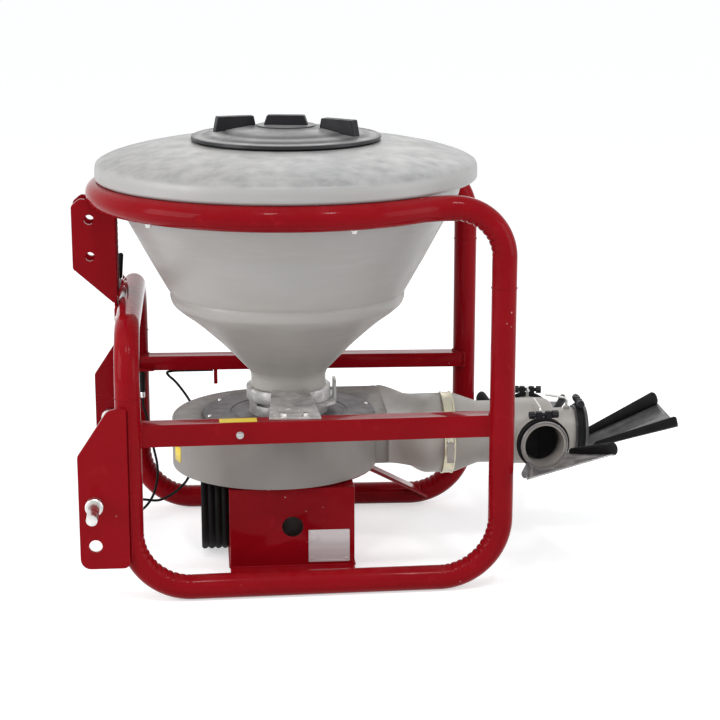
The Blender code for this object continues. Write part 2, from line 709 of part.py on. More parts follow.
def make_rotor():
    """Fan wheel and the shaft with its bevel pinion."""
    pivot = (0.0, 0.0, BLADE_BOTTOM_Z)
    disc = ring(SHAFT_R + GAP, ROTOR_R, BLADE_BOTTOM_Z, BLADE_BOTTOM_Z + ROTOR_DISC, 40)
    wheel = add_object("fan_wheel", disc, CAST_ALUMINIUM, pivot)
    outline = []
    for blade in range(BLADE_COUNT):
        turn = Matrix.Rotation(math.tau * blade / BLADE_COUNT, 2)
        tip = ROTOR_R - 0.002
        half = BLADE_T / 2
        root = math.sqrt(FAN_HUB_R ** 2 - half ** 2)
        for u, v in ((root, -half), (tip, -half), (tip, half), (root, half)):
            outline.append(tuple(turn @ Vector((u, v))))
        middle = math.pi / BLADE_COUNT
        hub = Vector((FAN_HUB_R * math.cos(middle), FAN_HUB_R * math.sin(middle)))
        outline.append(tuple(turn @ hub))
    join(wheel, plate(outline, BLADE_HEIGHT, level_xy(BLADE_BOTTOM_Z + ROTOR_DISC / 2),
                      [(0.0, 0.0, SHAFT_R + GAP, 40)]))
    cone = math.atan(1 / GEAR_RATIO)
    top = PTO_Z + PINION_R / math.tan(cone)
    low = top - GEAR_FACE
    low_r = PINION_R - GEAR_FACE * math.tan(cone)
    profile = [(0.0, low), (low_r, low), (PINION_R, top), (SHAFT_R, top + 0.002),
               (SHAFT_R, SHAFT_TOP_Z), (0.0, SHAFT_TOP_Z)]
    add_object("fan_shaft", lathe(profile, 24, closed=False), STEEL, pivot)
    make_agitator(pivot)


def make_agitator(pivot):
    """Stirrer on the shaft's top, inside the hopper's neck."""
    low = SHAFT_TOP_Z + GAP
    stirrer = add_object("agitator", rod((0, 0, low), (0, 0, AGITATOR_TOP_Z), SHAFT_R, 16), STEEL,
                         pivot)
    for z, turn in ((low + 0.035, 0), (low + 0.062, 90)):
        reach = Matrix.Rotation(math.radians(turn), 3, "Z") @ Vector((FINGER_LENGTH, 0, 0))
        centre = Vector((0, 0, z))
        join(stirrer, rod(centre - reach, centre + reach, 0.004, 12))


def make_drive():
    """Gear case, crown wheel, splined input shaft with its bearing, and the shaft guard."""
    low = (CASE_FRONT_X, -CASE_HALF_Y, FLOOR_TOP_Z + GAP)
    high = (CASE_REAR_X, CASE_HALF_Y, CASE_TOP_Z)
    shell = box(low, high)
    bmesh.ops.bevel(shell, geom=shell.edges[:], offset=0.006, segments=1, profile=0.5,
                    affect="EDGES", clamp_overlap=True, material=-1)
    case = add_object("gear_case", shell, CAST_ALUMINIUM)
    wall = Vector((CASE_WALL, CASE_WALL, CASE_WALL))
    cut(case, box(Vector(low) + wall, Vector(high) - wall))
    cut(case, rod((CASE_FRONT_X - 0.01, 0, PTO_Z), (CASE_FRONT_X + 0.02, 0, PTO_Z),
                  BEARING_R + GAP, 28))
    cut(case, rod((0, 0, CASE_TOP_Z - 0.02), (0, 0, CASE_TOP_Z + 0.01), PINION_R + 0.004, 28))
    pivot = (PTO_END_X, 0.0, PTO_Z)
    outline = []
    for step in range(SPLINES * 4):
        radius = PTO_SPLINE_R if step % 4 in (0, 1) else PTO_ROOT_R
        turn = math.tau * step / (SPLINES * 4)
        outline.append((radius * math.cos(turn), radius * math.sin(turn)))
    cone = math.atan(1 / GEAR_RATIO)
    crown_r = PINION_R * GEAR_RATIO
    shaft_end = -PINION_R - CROWN_RECESS
    to_axis = Matrix.Translation((0.0, 0.0, PTO_Z))
    add_object("pto_shaft", plate(outline, shaft_end - PTO_END_X, to_axis @ upright_yz(PTO_END_X)),
               STEEL, pivot)
    # The crown's pitch cone meets the pinion's, with a hair of air between them
    face_low = crown_r - GEAR_FACE * math.cos(math.atan(1.0 / GEAR_RATIO))
    air = 2 * GAP
    bore = PTO_SPLINE_R + RUNNING
    profile = [(bore, -PINION_R - CROWN_BACK), (crown_r, -PINION_R - CROWN_RIM),
               (crown_r, -PINION_R - air), (face_low, -face_low * math.tan(cone) - air),
               (face_low - 0.002, shaft_end), (bore, shaft_end)]
    add_object("crown_wheel", lathe(profile, 32, along_x(0.0, 0.0, PTO_Z)), STEEL, pivot)
    add_object("pto_bearing", ring(PTO_SPLINE_R + RUNNING, BEARING_R, CASE_FRONT_X,
                                   CASE_FRONT_X + CASE_WALL, 28, along_x(0, 0, PTO_Z)), STEEL)
    profile = []
    flange_x = PEDESTAL_FRONT_X - GAP
    length = flange_x - GUARD_END_X
    for rib in range(GUARD_RIBS):
        start = GUARD_END_X + length * rib / GUARD_RIBS
        pitch = length / GUARD_RIBS
        profile += [(GUARD_R - GUARD_RIB, start), (GUARD_R, start + pitch * 0.3),
                    (GUARD_R, start + pitch * 0.6)]
    guard_bore = GUARD_R - GUARD_RIB - GUARD_WALL
    profile += [(GUARD_R - GUARD_RIB, flange_x), (guard_bore, flange_x),
                (guard_bore, GUARD_END_X)]
    add_object("pto_guard", lathe(profile, 24, along_x(0, 0, PTO_Z)), RUBBER)


def square_point(turn, half_y, half_z):
    """Point of a rectangle's edge in a direction, with the corners at 45 degrees."""
    reach = max(abs(math.cos(turn)), abs(math.sin(turn)))
    return math.cos(turn) / reach * half_y, math.sin(turn) / reach * half_z


def duct_ring(x, share, radius, inset):
    """Points of one duct section: a rectangle at share 0, a circle at share 1."""
    far_y = SCROLL_R
    centre_y = (far_y + TONGUE_Y) / 2 * (1 - share)
    half_y, half_z = (far_y - TONGUE_Y) / 2 - inset, SCROLL_HEIGHT / 2 - inset
    points = []
    for index in range(DUCT_SIDES):
        turn = math.tau * index / DUCT_SIDES
        flat = square_point(turn, half_y, half_z)
        round_y = (radius - inset) * math.cos(turn)
        round_z = (radius - inset) * math.sin(turn)
        points.append(Vector((x, centre_y + flat[0] * (1 - share) + round_y * share,
                              DUCT_Z + flat[1] * (1 - share) + round_z * share)))
    return points


def duct_body(stations):
    """A hollow duct through (x, share, radius) stations, open at both ends."""
    data = bmesh.new()
    sections = [duct_ring(*station, 0.0) for station in stations]
    sections += [duct_ring(*station, DUCT_WALL) for station in reversed(stations)]
    rings = [[data.verts.new(point) for point in section] for section in sections]
    for first, second in zip(rings, rings[1:] + rings[:1]):
        for index in range(DUCT_SIDES):
            after = (index + 1) % DUCT_SIDES
            data.faces.new((first[index], first[after], second[after], second[index]))
    return data


def make_duct():
    """Casting from the drum's outlet to the clamp, and the cone behind it."""
    start = OUTLET_X + GAP
    stations = []
    for step in range(6):
        part = step / 5
        share = part * part * (3 - 2 * part)
        stations.append((start + (DUCT_ROUND_X - start) * part, share, DUCT_R))
    stations.append((DUCT_JOINT_X - GAP / 2, 1.0, DUCT_R))
    add_object("outlet_duct", duct_body(stations), GREY_PLASTIC)
    stations = [(DUCT_JOINT_X + GAP / 2, 1.0, DUCT_R), (CONE_START_X, 1.0, DUCT_R),
                (CONE_END_X, 1.0, PIPE_R), (PIPE_END_X, 1.0, PIPE_R)]
    add_object("duct_cone", duct_body(stations), GREY_PLASTIC)
    half = STRAP_WIDTH / 2
    inner = DUCT_R + GAP
    outer = inner + STRAP_T
    add_object("strap_clamp", ring(inner, outer, -half, half, DUCT_SIDES,
                                   along_x(DUCT_JOINT_X, 0.0, DUCT_Z)), ZINC)
    face_y = -outer - GAP
    top = DUCT_Z + 0.001
    latch = box((DUCT_JOINT_X - LATCH_WIDTH / 2, face_y - LATCH_T, top - LATCH_LENGTH),
                (DUCT_JOINT_X + LATCH_WIDTH / 2, face_y, top))
    bmesh.ops.bevel(latch, geom=latch.edges[:], offset=0.002, segments=2, profile=0.5,
                    affect="EDGES", clamp_overlap=True, material=-1)
    add_object("strap_latch", latch, ZINC, (DUCT_JOINT_X, face_y - LATCH_T / 2, top))


# Ports: name and the turn about Z that carries +X to the port's outward direction
PORTS = (("near", SIDE_PORT_LEAN - 90.0, NEAR_SPOUT_ROLL), ("rear", 0.0, 0.0),
         ("far", 90.0 - SIDE_PORT_LEAN, 0.0))


def port_matrix(turn):
    """Frame of a port: X outward along its axis, Z up, origin at the head's centre."""
    centre = Matrix.Translation((HEAD_X, 0.0, DUCT_Z))
    return centre @ Matrix.Rotation(math.radians(turn), 4, "Z")


def make_head():
    """Hollow distributor: a domed sleeve over the pipe, with a rear and two side ports."""
    bore = PIPE_R + GAP
    rim = bore + HEAD_WALL
    end = HEAD_DOME_X + HEAD_DOME
    outer = [(0.0, HEAD_START_X), (rim, HEAD_START_X), (rim, HEAD_DOME_X),
             (rim * 0.93, HEAD_DOME_X + HEAD_DOME * 0.48), (PORT_R + 0.005, end - 0.003),
             (PORT_R, end + 0.001), (PORT_R, HEAD_X + PORT_REACH), (0.0, HEAD_X + PORT_REACH)]
    to_axis = along_x(0.0, 0.0, DUCT_Z)
    head = add_object("distributor_head", lathe(outer, 24, to_axis, closed=False), GREY_PLASTIC)
    narrow = PORT_R - PORT_WALL
    inner = [(0.0, HEAD_START_X - 0.02), (bore, HEAD_START_X - 0.02), (bore, HEAD_DOME_X - 0.002),
             (bore * 0.9, HEAD_DOME_X + HEAD_DOME * 0.4), (narrow, end - 0.006),
             (narrow, HEAD_X + PORT_REACH + 0.02), (0.0, HEAD_X + PORT_REACH + 0.02)]
    sides = [port_matrix(turn) for _, turn, _ in PORTS if turn]
    for frame in sides:
        join(head, rod(frame.translation, frame @ Vector((PORT_REACH, 0, 0)), PORT_R, 28))
    chamber = cut(head, lathe(inner, 24, to_axis, closed=False))
    for frame in sides:
        reach = Vector((PORT_REACH + 0.02, 0, 0))
        join(chamber, rod(frame.translation, frame @ reach, narrow, 28))
    for name, turn, roll in PORTS:
        frame = port_matrix(turn)
        low = Vector((FLAP_OFFSET, 0, 0))
        join(chamber, rod(frame @ low, frame @ (low + Vector((0, 0, PORT_R + 0.02))),
                          SPINDLE_R + RUNNING, 16))
        make_port(name, frame, roll)


def make_port(name, frame, roll):
    """What one port carries: flap with its handle, deflector, clamp band and its screw."""
    def place(data):
        bmesh.ops.transform(data, matrix=frame, verts=data.verts)
        return data

    half = FLAP_T / 2
    flap_x = FLAP_OFFSET
    rise = PORT_R + HANDLE_RISE
    path = bent([((flap_x, 0, -FLAP_R + 0.004), 0), ((flap_x, 0, rise), 0.008),
                 ((flap_x - HANDLE_ARM, 0, rise + 0.008), 0)], steps=4)
    pivot = frame @ Vector((flap_x, 0, 0))
    flap = add_object(name + "_port_flap",
                      place(sweep(path, SPINDLE_R, 8)), ZINC, pivot)
    join(flap, place(rod((flap_x, -half, 0), (flap_x, half, 0), FLAP_R, 24)))
    spout = make_spout(SPOUT_TIP_RISE[name])
    bmesh.ops.transform(spout, matrix=Matrix.Rotation(math.radians(roll), 4, "X"),
                        verts=spout.verts)
    mouth = frame @ Vector((PORT_REACH, 0, 0))
    add_object(name + "_deflector", place(spout), DARK_PLASTIC, mouth)
    inner = PORT_R + RUNNING + SPOUT_T + RUNNING
    outer = inner + BAND_T
    low = PORT_REACH - SPOUT_SLEEVE + (SPOUT_SLEEVE - BAND_WIDTH) / 2
    band = ring(inner, outer, 0.0, BAND_WIDTH, 28, along_x(low, 0, 0))
    band_object = add_object(name + "_clamp_band", place(band), BLACK_PLASTIC)
    join(band_object, place(box((low + BAND_EDGE, -LUG_HALF, inner + 0.0015),
                                (low + BAND_WIDTH - BAND_EDGE, LUG_HALF, outer + LUG_HEIGHT))))
    screw_z = outer + LUG_HEIGHT / 2
    screw_x = low + BAND_WIDTH / 2
    cut(band_object, place(rod((screw_x, -0.03, screw_z), (screw_x, 0.03, screw_z),
                               SCREW_R + RUNNING, 12)))
    profile = [(0.0, -SCREW_HALF), (KNOB_R, -SCREW_HALF), (KNOB_R, -SCREW_HALF + KNOB_LENGTH * 0.6),
               (SCREW_R, -SCREW_HALF + KNOB_LENGTH * 0.8), (SCREW_R, SCREW_HALF - KNOB_LENGTH),
               (KNOB_R, SCREW_HALF - KNOB_LENGTH), (KNOB_R, SCREW_HALF), (0.0, SCREW_HALF)]
    across = Matrix.Translation((screw_x, 0, screw_z)) @ Matrix.Rotation(
        math.radians(-90), 4, "X")
    add_object(name + "_clamp_screw", place(lathe(profile, 12, across, closed=False)),
               BLACK_PLASTIC, frame @ Vector((screw_x, 0, screw_z)))


def make_spout(rise):
    """Fishtail deflector: a sleeve whose lower part runs on into a widening, rising trough."""
    sides = 28
    inner_r = PORT_R + RUNNING
    outer_r = inner_r + SPOUT_T
    sleeve = ring(inner_r, outer_r, PORT_REACH - SPOUT_SLEEVE, PORT_REACH + 0.002, sides,
                  Matrix.Rotation(math.radians(90), 4, "Y"))
    mouth_x = PORT_REACH + 0.002
    spread = math.tau * 5 / sides
    grow = []
    for face in sleeve.faces:
        centre = face.calc_center_median()
        at_mouth = all(abs(vert.co.x - mouth_x) < 1e-6 for vert in face.verts)
        if at_mouth and centre.z < -inner_r * math.cos(spread):
            grow.append(face)
    base = {}
    for part in (0.4, 1.0):
        moved, grow = extruded(sleeve, grow)
        for vert in moved:
            if part == 0.4:
                turn = math.atan2(vert.co.y, -vert.co.z)
                is_inner = math.hypot(vert.co.y, vert.co.z) < (inner_r + outer_r) / 2
                target = tip_point(turn / spread, is_inner, rise)
                start = vert.co.copy()
                vert.co = start.lerp(target, part)
                base[(round(vert.co.y, 6), round(vert.co.z, 6))] = target
            else:
                vert.co = base[(round(vert.co.y, 6), round(vert.co.z, 6))]
    return sleeve


def tip_point(across, is_inner, rise):
    """Place on the deflector's tip: across runs from -1 to 1 over lip, floor and lip."""
    floor_share = 0.8
    lift = SPOUT_T if is_inner else 0.0
    tip_x = PORT_REACH + SPOUT_RUN
    size = abs(across)
    sign = math.copysign(1.0, across)
    if size <= floor_share + 1e-3:
        y = SPOUT_TIP_HALF * size / floor_share
        if size > floor_share - 1e-3:
            y -= lift
        return Vector((tip_x, sign * y, rise + lift))
    y = SPOUT_TIP_HALF + 0.004 - lift
    return Vector((tip_x - 0.004, sign * y, rise + SPOUT_LIP))


def make_hopper():
    """One blow-moulded shell whose rim rests on the hoop, open at the lid and at the neck."""
    clear = RING_R - TUBE_R - 0.0025
    ledge = LEDGE_Z
    wall = HOPPER_WALL
    seat = Vector((LID_SEAT_R + 0.004, LID_SEAT_Z))
    brow = Vector((RIM_R - 0.003, RIM_TOP_Z))
    dome = [seat + Vector((out * (brow.x - seat.x), down * (brow.y - seat.y)))
            for out, down in DOME_SHARES]
    throat = Vector((NECK_R + 0.004, NECK_TOP_Z))
    waist = Vector((clear - 0.006, RING_Z - 0.010))
    cone = [throat + Vector((out * (waist.x - throat.x), up * (waist.y - throat.y)))
            for out, up in CONE_SHARES]
    outer = [tuple(seat)] + [tuple(point) for point in dome]
    outer += [tuple(brow), (RIM_R, RIM_TOP_Z - 0.008), (RIM_R, ledge + 0.005), (RIM_R - 0.005, ledge),
              (clear + 0.006, ledge), (clear - 0.001, RING_Z + 0.012), tuple(waist)]
    outer += [tuple(point) for point in cone]
    outer += [tuple(throat), (NECK_R, NECK_TOP_Z - 0.008), (NECK_R, NECK_FOOT_Z)]
    inner = [(NECK_R - wall, NECK_FOOT_Z), (NECK_R - wall, NECK_TOP_Z - 0.004)]
    inner += [(point.x - 0.8 * wall, point.y + 0.6 * wall) for point in reversed(cone)]
    inner += [(clear - 0.011, RING_Z - 0.008), (clear - 0.006, ledge + wall),
              (RIM_R - wall, ledge + 0.010), (RIM_R - wall, RIM_TOP_Z - 0.008)]
    inner += [(point.x - 0.2 * wall, point.y - wall) for point in (dome[2], dome[0])]
    inner += [(LID_OPENING_R, LID_SEAT_Z - wall), (LID_OPENING_R, LID_SEAT_Z)]
    add_object("hopper", lathe(outer + inner, 32), HOPPER_PLASTIC)


def make_lid():
    """Domed lid with a raised hub and three block grips, and its seal ring."""
    seal_low = LID_SEAT_Z + GAP
    seal_high = seal_low + 0.003
    pivot = (0.0, 0.0, seal_low)
    add_object("lid_seal", ring(LID_OPENING_R + 0.001, LID_R - 0.006, seal_low, seal_high, 32),
               RUBBER, pivot)
    low = seal_high + GAP
    edge_top = LID_SEAT_Z + LID_EDGE
    hub_z = edge_top + LID_HUB_RISE
    hub_top = hub_z + LID_HUB_T
    spigot_low = low - LID_SPIGOT_DEPTH
    profile = [(0.0, hub_top), (LID_HUB_R, hub_top), (LID_HUB_R, hub_z),
               (LID_R - 0.008, edge_top), (LID_R, edge_top - 0.003), (LID_R, low),
               (LID_SPIGOT_R, low), (LID_SPIGOT_R, spigot_low),
               (LID_SPIGOT_R - LID_SKIN, spigot_low), (LID_SPIGOT_R - LID_SKIN, low + 0.002),
               (LID_HUB_R, hub_z - LID_SKIN), (0.0, hub_z - LID_SKIN)]
    lid = add_object("lid", lathe(profile, 36, closed=False), BLACK_PLASTIC, pivot)
    for x, y, degrees in GRIPS:
        half = GRIP_LENGTH / 2
        is_middle = math.hypot(x, y) < LID_HUB_R
        foot = (hub_top if is_middle else edge_top) - 0.001
        top = hub_top + GRIP_HEIGHT - (0.0 if is_middle else 0.004)
        outline = [(-half, foot), (half, foot), (half - 0.007, top), (-half + 0.007, top)]
        grip = plate(outline, GRIP_WIDTH, upright_xz(-GRIP_WIDTH / 2))
        turn = Matrix.Rotation(math.radians(degrees), 4, "Z")
        place = Matrix.Translation((x, y, 0)) @ turn
        bmesh.ops.transform(grip, matrix=place, verts=grip.verts)
        join(lid, grip)


def make_gate():
    """Cast gate ring with its sliding shutter, hung from both cross bars by brackets."""
    low, high = GATE_BOTTOM_Z, BAR_TOP_Z
    middle = (low + high) / 2
    profile = [(GATE_BORE_R, low), (GATE_R - 0.006, low), (GATE_R - 0.006, middle - 0.002),
               (GATE_R, middle + 0.002), (GATE_R, high), (GATE_BORE_R, high)]
    gate = add_object("gate_ring", lathe(profile, 32), CAST_ALUMINIUM)
    slot = (SHUTTER_T + 2 * RUNNING) / 2
    cut(gate, box((-GATE_BORE_R - 0.006, -SHUTTER_HALF_Y - RUNNING, SHUTTER_Z - slot),
                  (GATE_R + 0.02, SHUTTER_HALF_Y + RUNNING, SHUTTER_Z + slot)))
    start = -GATE_BORE_R - 0.004
    notch = SHAFT_R + 0.004
    notch_end = notch + SHUTTER_TRAVEL * 0.1
    corner = 0.018
    end = SHUTTER_TAB_X - 0.004
    outline = [(start, -SHUTTER_HALF_Y + 0.035), (start, -notch), (notch_end, -notch),
               (notch_end, notch), (start, notch), (start, SHUTTER_HALF_Y - 0.035),
               (-0.040, SHUTTER_HALF_Y), (end - corner, SHUTTER_HALF_Y),
               (end, SHUTTER_HALF_Y - corner), (end, -SHUTTER_HALF_Y + corner),
               (end - corner, -SHUTTER_HALF_Y), (-0.040, -SHUTTER_HALF_Y)]
    shutter = add_object("gate_shutter",
                         plate(outline, SHUTTER_T, level_xy(SHUTTER_Z - SHUTTER_T / 2)),
                         CAST_ALUMINIUM, (SHUTTER_TAB_X, 0.0, SHUTTER_Z))
    join(shutter, box((end - 0.002, -0.016, SHUTTER_Z - 0.012),
                      (SHUTTER_TAB_X, 0.016, SHUTTER_TAB_TOP_Z)))
    for name, side in (("near", -1), ("far", 1)):
        reach = side_y(0.0) - BAR_INSET + BAR_WIDTH / 2 - 0.010
        inner = NECK_R + 0.0015
        outline = [(-BRACKET_HALF_X, reach), (BRACKET_HALF_X, reach)]
        outline += [(BRACKET_HALF_X * 0.8, GATE_R + 0.02)]
        for degrees in (62, 76, 90, 104, 118):
            turn = math.radians(degrees)
            outline.append((inner * math.cos(turn), inner * math.sin(turn)))
        outline += [(-BRACKET_HALF_X * 0.8, GATE_R + 0.02)]
        outline = [(u, side * v) for u, v in outline]
        holes = [(0.021 * way, side * (side_y(0.0) - BAR_INSET), 0.0045, 12) for way in (-1, 1)]
        add_object(name + "_gate_bracket",
                   plate(outline, BRACKET_T, level_xy(BAR_TOP_Z + GAP), holes), CAST_ALUMINIUM)


def make_levers():
    """Bracket on the front arch with two hand levers on one bolt."""
    plate_y = (0.139, 0.191)
    bracket_t = 0.004
    bolt_reach = 0.008
    back_x = FRONT_X - TUBE_R - GAP
    front_x = LEVER_PIVOT_X - LEVER_CHEEK
    low_z, high_z = LEVER_PIVOT_Z - 0.014, ARCH_Z + 0.024
    # The cheeks' back follows the front of the arch's tube
    hug = TUBE_R + 3 * GAP
    arc = []
    for degrees in (215, 195, 180, 165, 150, 135):
        turn = math.radians(degrees)
        arc.append((FRONT_X + hug * math.cos(turn), ARCH_Z + hug * math.sin(turn), 0))
    outline = rounded([(front_x, low_z, 0.006), (back_x, low_z, 0), (back_x, arc[0][1] - 0.006, 0)] + arc
                      + [(arc[-1][0] - 0.003, high_z, 0), (front_x, LEVER_PIVOT_Z + 0.016, 0.006)], 3)
    width = plate_y[1] - plate_y[0] + bracket_t
    bracket = add_object("lever_bracket", plate(
        outline, width, upright_xz(plate_y[0] - bracket_t / 2),
        [(LEVER_PIVOT_X, LEVER_PIVOT_Z, LEVER_BOLT_R + GAP, 16)]), RED_PAINT)
    # Both cheeks hang together by one narrow tie, low enough for the levers to lean over it
    inside = (plate_y[0] + bracket_t / 2, plate_y[1] - bracket_t / 2)
    tie_low, tie_high = LEVER_PIVOT_Z, LEVER_PIVOT_Z + 0.016
    gap = cut(bracket, box((front_x - 0.01, inside[0], low_z - 0.01),
                           (back_x - LEVER_TIE, inside[1], high_z + 0.01)))
    for low, high in ((low_z - 0.01, tie_low), (tie_high, high_z + 0.01)):
        join(gap, box((front_x - 0.005, inside[0], low), (back_x + 0.03, inside[1], high)))
    low, high = plate_y[0] - bracket_t / 2, plate_y[1] + bracket_t / 2
    head = LEVER_BOLT_R * 1.9
    profile = [(0.0, low - bolt_reach), (head, low - bolt_reach), (head, low - GAP),
               (LEVER_BOLT_R, low - GAP), (LEVER_BOLT_R, high + GAP), (head, high + GAP),
               (head, high + bolt_reach), (0.0, high + bolt_reach)]
    to_y = Matrix.Translation((LEVER_PIVOT_X, 0, LEVER_PIVOT_Z)) @ Matrix.Rotation(
        math.radians(-90), 4, "X")
    add_object("lever_bolt", lathe(profile, 16, to_y, closed=False), ZINC)
    for name, reach in LEVER_REACH.items():
        y = LEVER_Y[name]
        half = LEVER_WIDTH / 2
        lean = Matrix.Translation((LEVER_PIVOT_X, 0, LEVER_PIVOT_Z)) @ Matrix.Rotation(
            math.radians(LEVER_LEAN[name]), 4, "Y")
        outline = rounded([(-half, -LEVER_DROP, half * 0.9), (half, -LEVER_DROP, half * 0.9),
                           (half, reach, half * 0.9), (-half, reach, half * 0.9)], 3)
        arm = plate(outline, LEVER_T, upright_xz(y - LEVER_T / 2),
                    [(0.0, 0.0, LEVER_BOLT_R + RUNNING, 16)])
        bmesh.ops.transform(arm, matrix=lean, verts=arm.verts)
        pivot = (LEVER_PIVOT_X, y, LEVER_PIVOT_Z)
        add_object(name + "_lever", arm, STEEL, pivot)
        foot = reach + GAP
        profile = [(0.0, foot), (HANDGRIP_R, foot), (HANDGRIP_R, foot + HANDGRIP_LENGTH - 0.003),
                   (HANDGRIP_R - 0.003, foot + HANDGRIP_LENGTH), (0.0, foot + HANDGRIP_LENGTH)]
        grip = lathe(profile, 14, Matrix.Translation((0, y, 0)), closed=False)
        bmesh.ops.transform(grip, matrix=lean, verts=grip.verts)
        add_object(name + "_lever_grip", grip, BLACK_PLASTIC, pivot)


# Route of the control cable, chosen by hand: from the boot, round in a loop near the front
# runner, up behind the fan and along the far cross bar to its stop
CABLE_ROUTE = [
    (-0.306, 0.248, 0.2755), (-0.306, 0.248, 0.258), (-0.3045, 0.248, 0.242), (-0.2985, 0.246, 0.219),
    (-0.2865, 0.242, 0.157), (-0.2780, 0.236, 0.113), (-0.2800, 0.228, 0.076),
    (-0.2910, 0.216, 0.045), (-0.3110, 0.202, 0.024), (-0.3330, 0.190, 0.020),
    (-0.3440, 0.182, 0.032), (-0.3350, 0.180, 0.047), (-0.3140, 0.184, 0.052),
    (-0.2790, 0.190, 0.047), (-0.2550, 0.195, 0.054), (-0.2290, 0.200, 0.071),
    (-0.2090, 0.206, 0.096), (-0.1960, 0.216, 0.142), (-0.1920, 0.224, 0.200),
    (-0.1965, 0.230, 0.238), (-0.2080, 0.234, 0.264), (-0.2320, 0.240, 0.297),
    (-0.2480, 0.247, 0.311), (-0.2520, 0.257, 0.3162), (-0.2420, 0.266, 0.3170),
    (-0.2240, 0.269, 0.3170), (-0.1850, 0.269, 0.3170), (-0.1525, 0.269, 0.3170),
]


def smooth_route(points, per_span):
    """Points of a smooth curve through the route's own points."""
    points = [Vector(point) for point in points]
    padded = [points[0] * 2 - points[1]] + points + [points[-1] * 2 - points[-2]]
    result = []
    for before, start, end, after in zip(padded, padded[1:], padded[2:], padded[3:]):
        for step in range(per_span):
            t = step / per_span
            result.append(0.5 * ((2 * start) + (end - before) * t
                                 + (2 * before - 5 * start + 4 * end - after) * t * t
                                 + (3 * start - before - 3 * end + after) * t * t * t))
    return result + [points[-1]]


def make_cable():
    """Control cable with its boot and anchor."""
    curve = bpy.data.curves.new("control_cable", "CURVE")
    curve.dimensions = "3D"
    curve.bevel_depth = CABLE_R
    curve.bevel_resolution = 2
    curve.use_fill_caps = True
    points = smooth_route(CABLE_ROUTE, 3)
    spline = curve.splines.new("POLY")
    spline.points.add(len(points) - 1)
    for target, point in zip(spline.points, points):
        target.co = (*point, 1.0)
    curve.materials.append(RUBBER)
    cable = bpy.data.objects.new("control_cable", curve)
    cable.parent = DATUM
    bpy.context.collection.objects.link(cable)
    x, y = CABLE_ANCHOR
    anchor_z = BAR_TOP_Z - FAR_BAR_HEIGHT + 0.004
    face_y = side_y(x) - BAR_INSET - BAR_WIDTH / 2 - GAP
    add_object("cable_anchor", box((x - 0.012, y - 0.012, anchor_z),
                                   (x + 0.026, face_y - 0.001, anchor_z + 0.003)), RED_PAINT)
    top = anchor_z - GAP
    profile = [(0.0, top), (BOOT_R, top), (BOOT_R, top - BOOT_LENGTH + 0.004),
               (BOOT_R - 0.0015, top - BOOT_LENGTH), (0.0, top - BOOT_LENGTH)]
    place = Matrix.Translation((x, y, 0))
    add_object("cable_boot", lathe(profile, 16, place, closed=False), RUBBER)


make_frame()
make_link_plates()
make_top_link()
make_base()
make_fan_casing()
make_rotor()
make_drive()
make_duct()
make_head()
make_hopper()
make_lid()
make_gate()
make_levers()
make_cable()
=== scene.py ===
# %% [markdown]
# # A tractor-mounted powder spreader
#
# The real machine hangs behind a tractor. A bent tube frame holds a plastic hopper. A sliding gate under
# the hopper lets powder fall into a fan, and a duct blows it to a head with three ports.
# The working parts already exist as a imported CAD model. This lesson dresses that model: it gives round
# things enough facets to look round, adds folds, welds, bolts and plates, and paints every surface.

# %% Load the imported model
import json
import math

import bmesh
import bpy
from mathutils import Matrix, Vector

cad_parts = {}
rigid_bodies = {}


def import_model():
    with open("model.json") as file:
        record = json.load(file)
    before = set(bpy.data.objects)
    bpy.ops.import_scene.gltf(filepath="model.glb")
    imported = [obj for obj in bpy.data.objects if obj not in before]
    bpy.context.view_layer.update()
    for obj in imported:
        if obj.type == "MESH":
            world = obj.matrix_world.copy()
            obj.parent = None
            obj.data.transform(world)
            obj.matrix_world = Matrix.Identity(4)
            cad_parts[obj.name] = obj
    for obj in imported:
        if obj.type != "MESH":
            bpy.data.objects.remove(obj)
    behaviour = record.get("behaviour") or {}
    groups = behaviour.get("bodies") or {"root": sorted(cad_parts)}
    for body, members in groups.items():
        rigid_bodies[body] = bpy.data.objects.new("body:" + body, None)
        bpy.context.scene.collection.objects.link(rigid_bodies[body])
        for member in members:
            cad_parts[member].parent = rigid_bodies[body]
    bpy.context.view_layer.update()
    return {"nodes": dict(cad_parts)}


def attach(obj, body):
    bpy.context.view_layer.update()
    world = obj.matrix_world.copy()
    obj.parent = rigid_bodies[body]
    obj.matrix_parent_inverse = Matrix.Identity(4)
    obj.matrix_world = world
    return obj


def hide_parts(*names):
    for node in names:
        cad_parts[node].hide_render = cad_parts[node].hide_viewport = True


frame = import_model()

# %% [markdown]
# ## The camera
#
# The photograph was taken from the machine's left, a little above the hopper's rim, with a long lens.
# A long lens keeps upright legs parallel, so the camera stands nearly four metres away. Its place came
# from lining up the hitch pins, the tube's thickness and the hopper's rim with the photograph.

# %% Camera
camera_eye = Vector((-0.3505, -3.7635, 1.3197))
camera_target = Vector((-0.0358, 0.0, 0.3984))
camera_data = bpy.data.cameras.new("camera")
camera_data.lens = 94.82
camera = bpy.data.objects.new("camera", camera_data)
camera.location = camera_eye
camera.rotation_mode = "QUATERNION"
camera.rotation_quaternion = (camera_target - camera_eye).to_track_quat("-Z", "Y")
bpy.context.collection.objects.link(camera)
bpy.context.scene.camera = camera
print("camera distance", round((camera_target - camera_eye).length, 3), "m")

# %% [markdown]
# ## Floor and white room
#
# The photograph has a white ground. Making the floor's own colour glow slightly, only for the rays that
# the camera, glossy paint and clear plastic send out, gives white without throwing more light on the
# machine. The floor still takes its soft shadow.

# %% Floor and world
FLOOR_HALF = 40.0
FLOOR_GLOW = 0.53


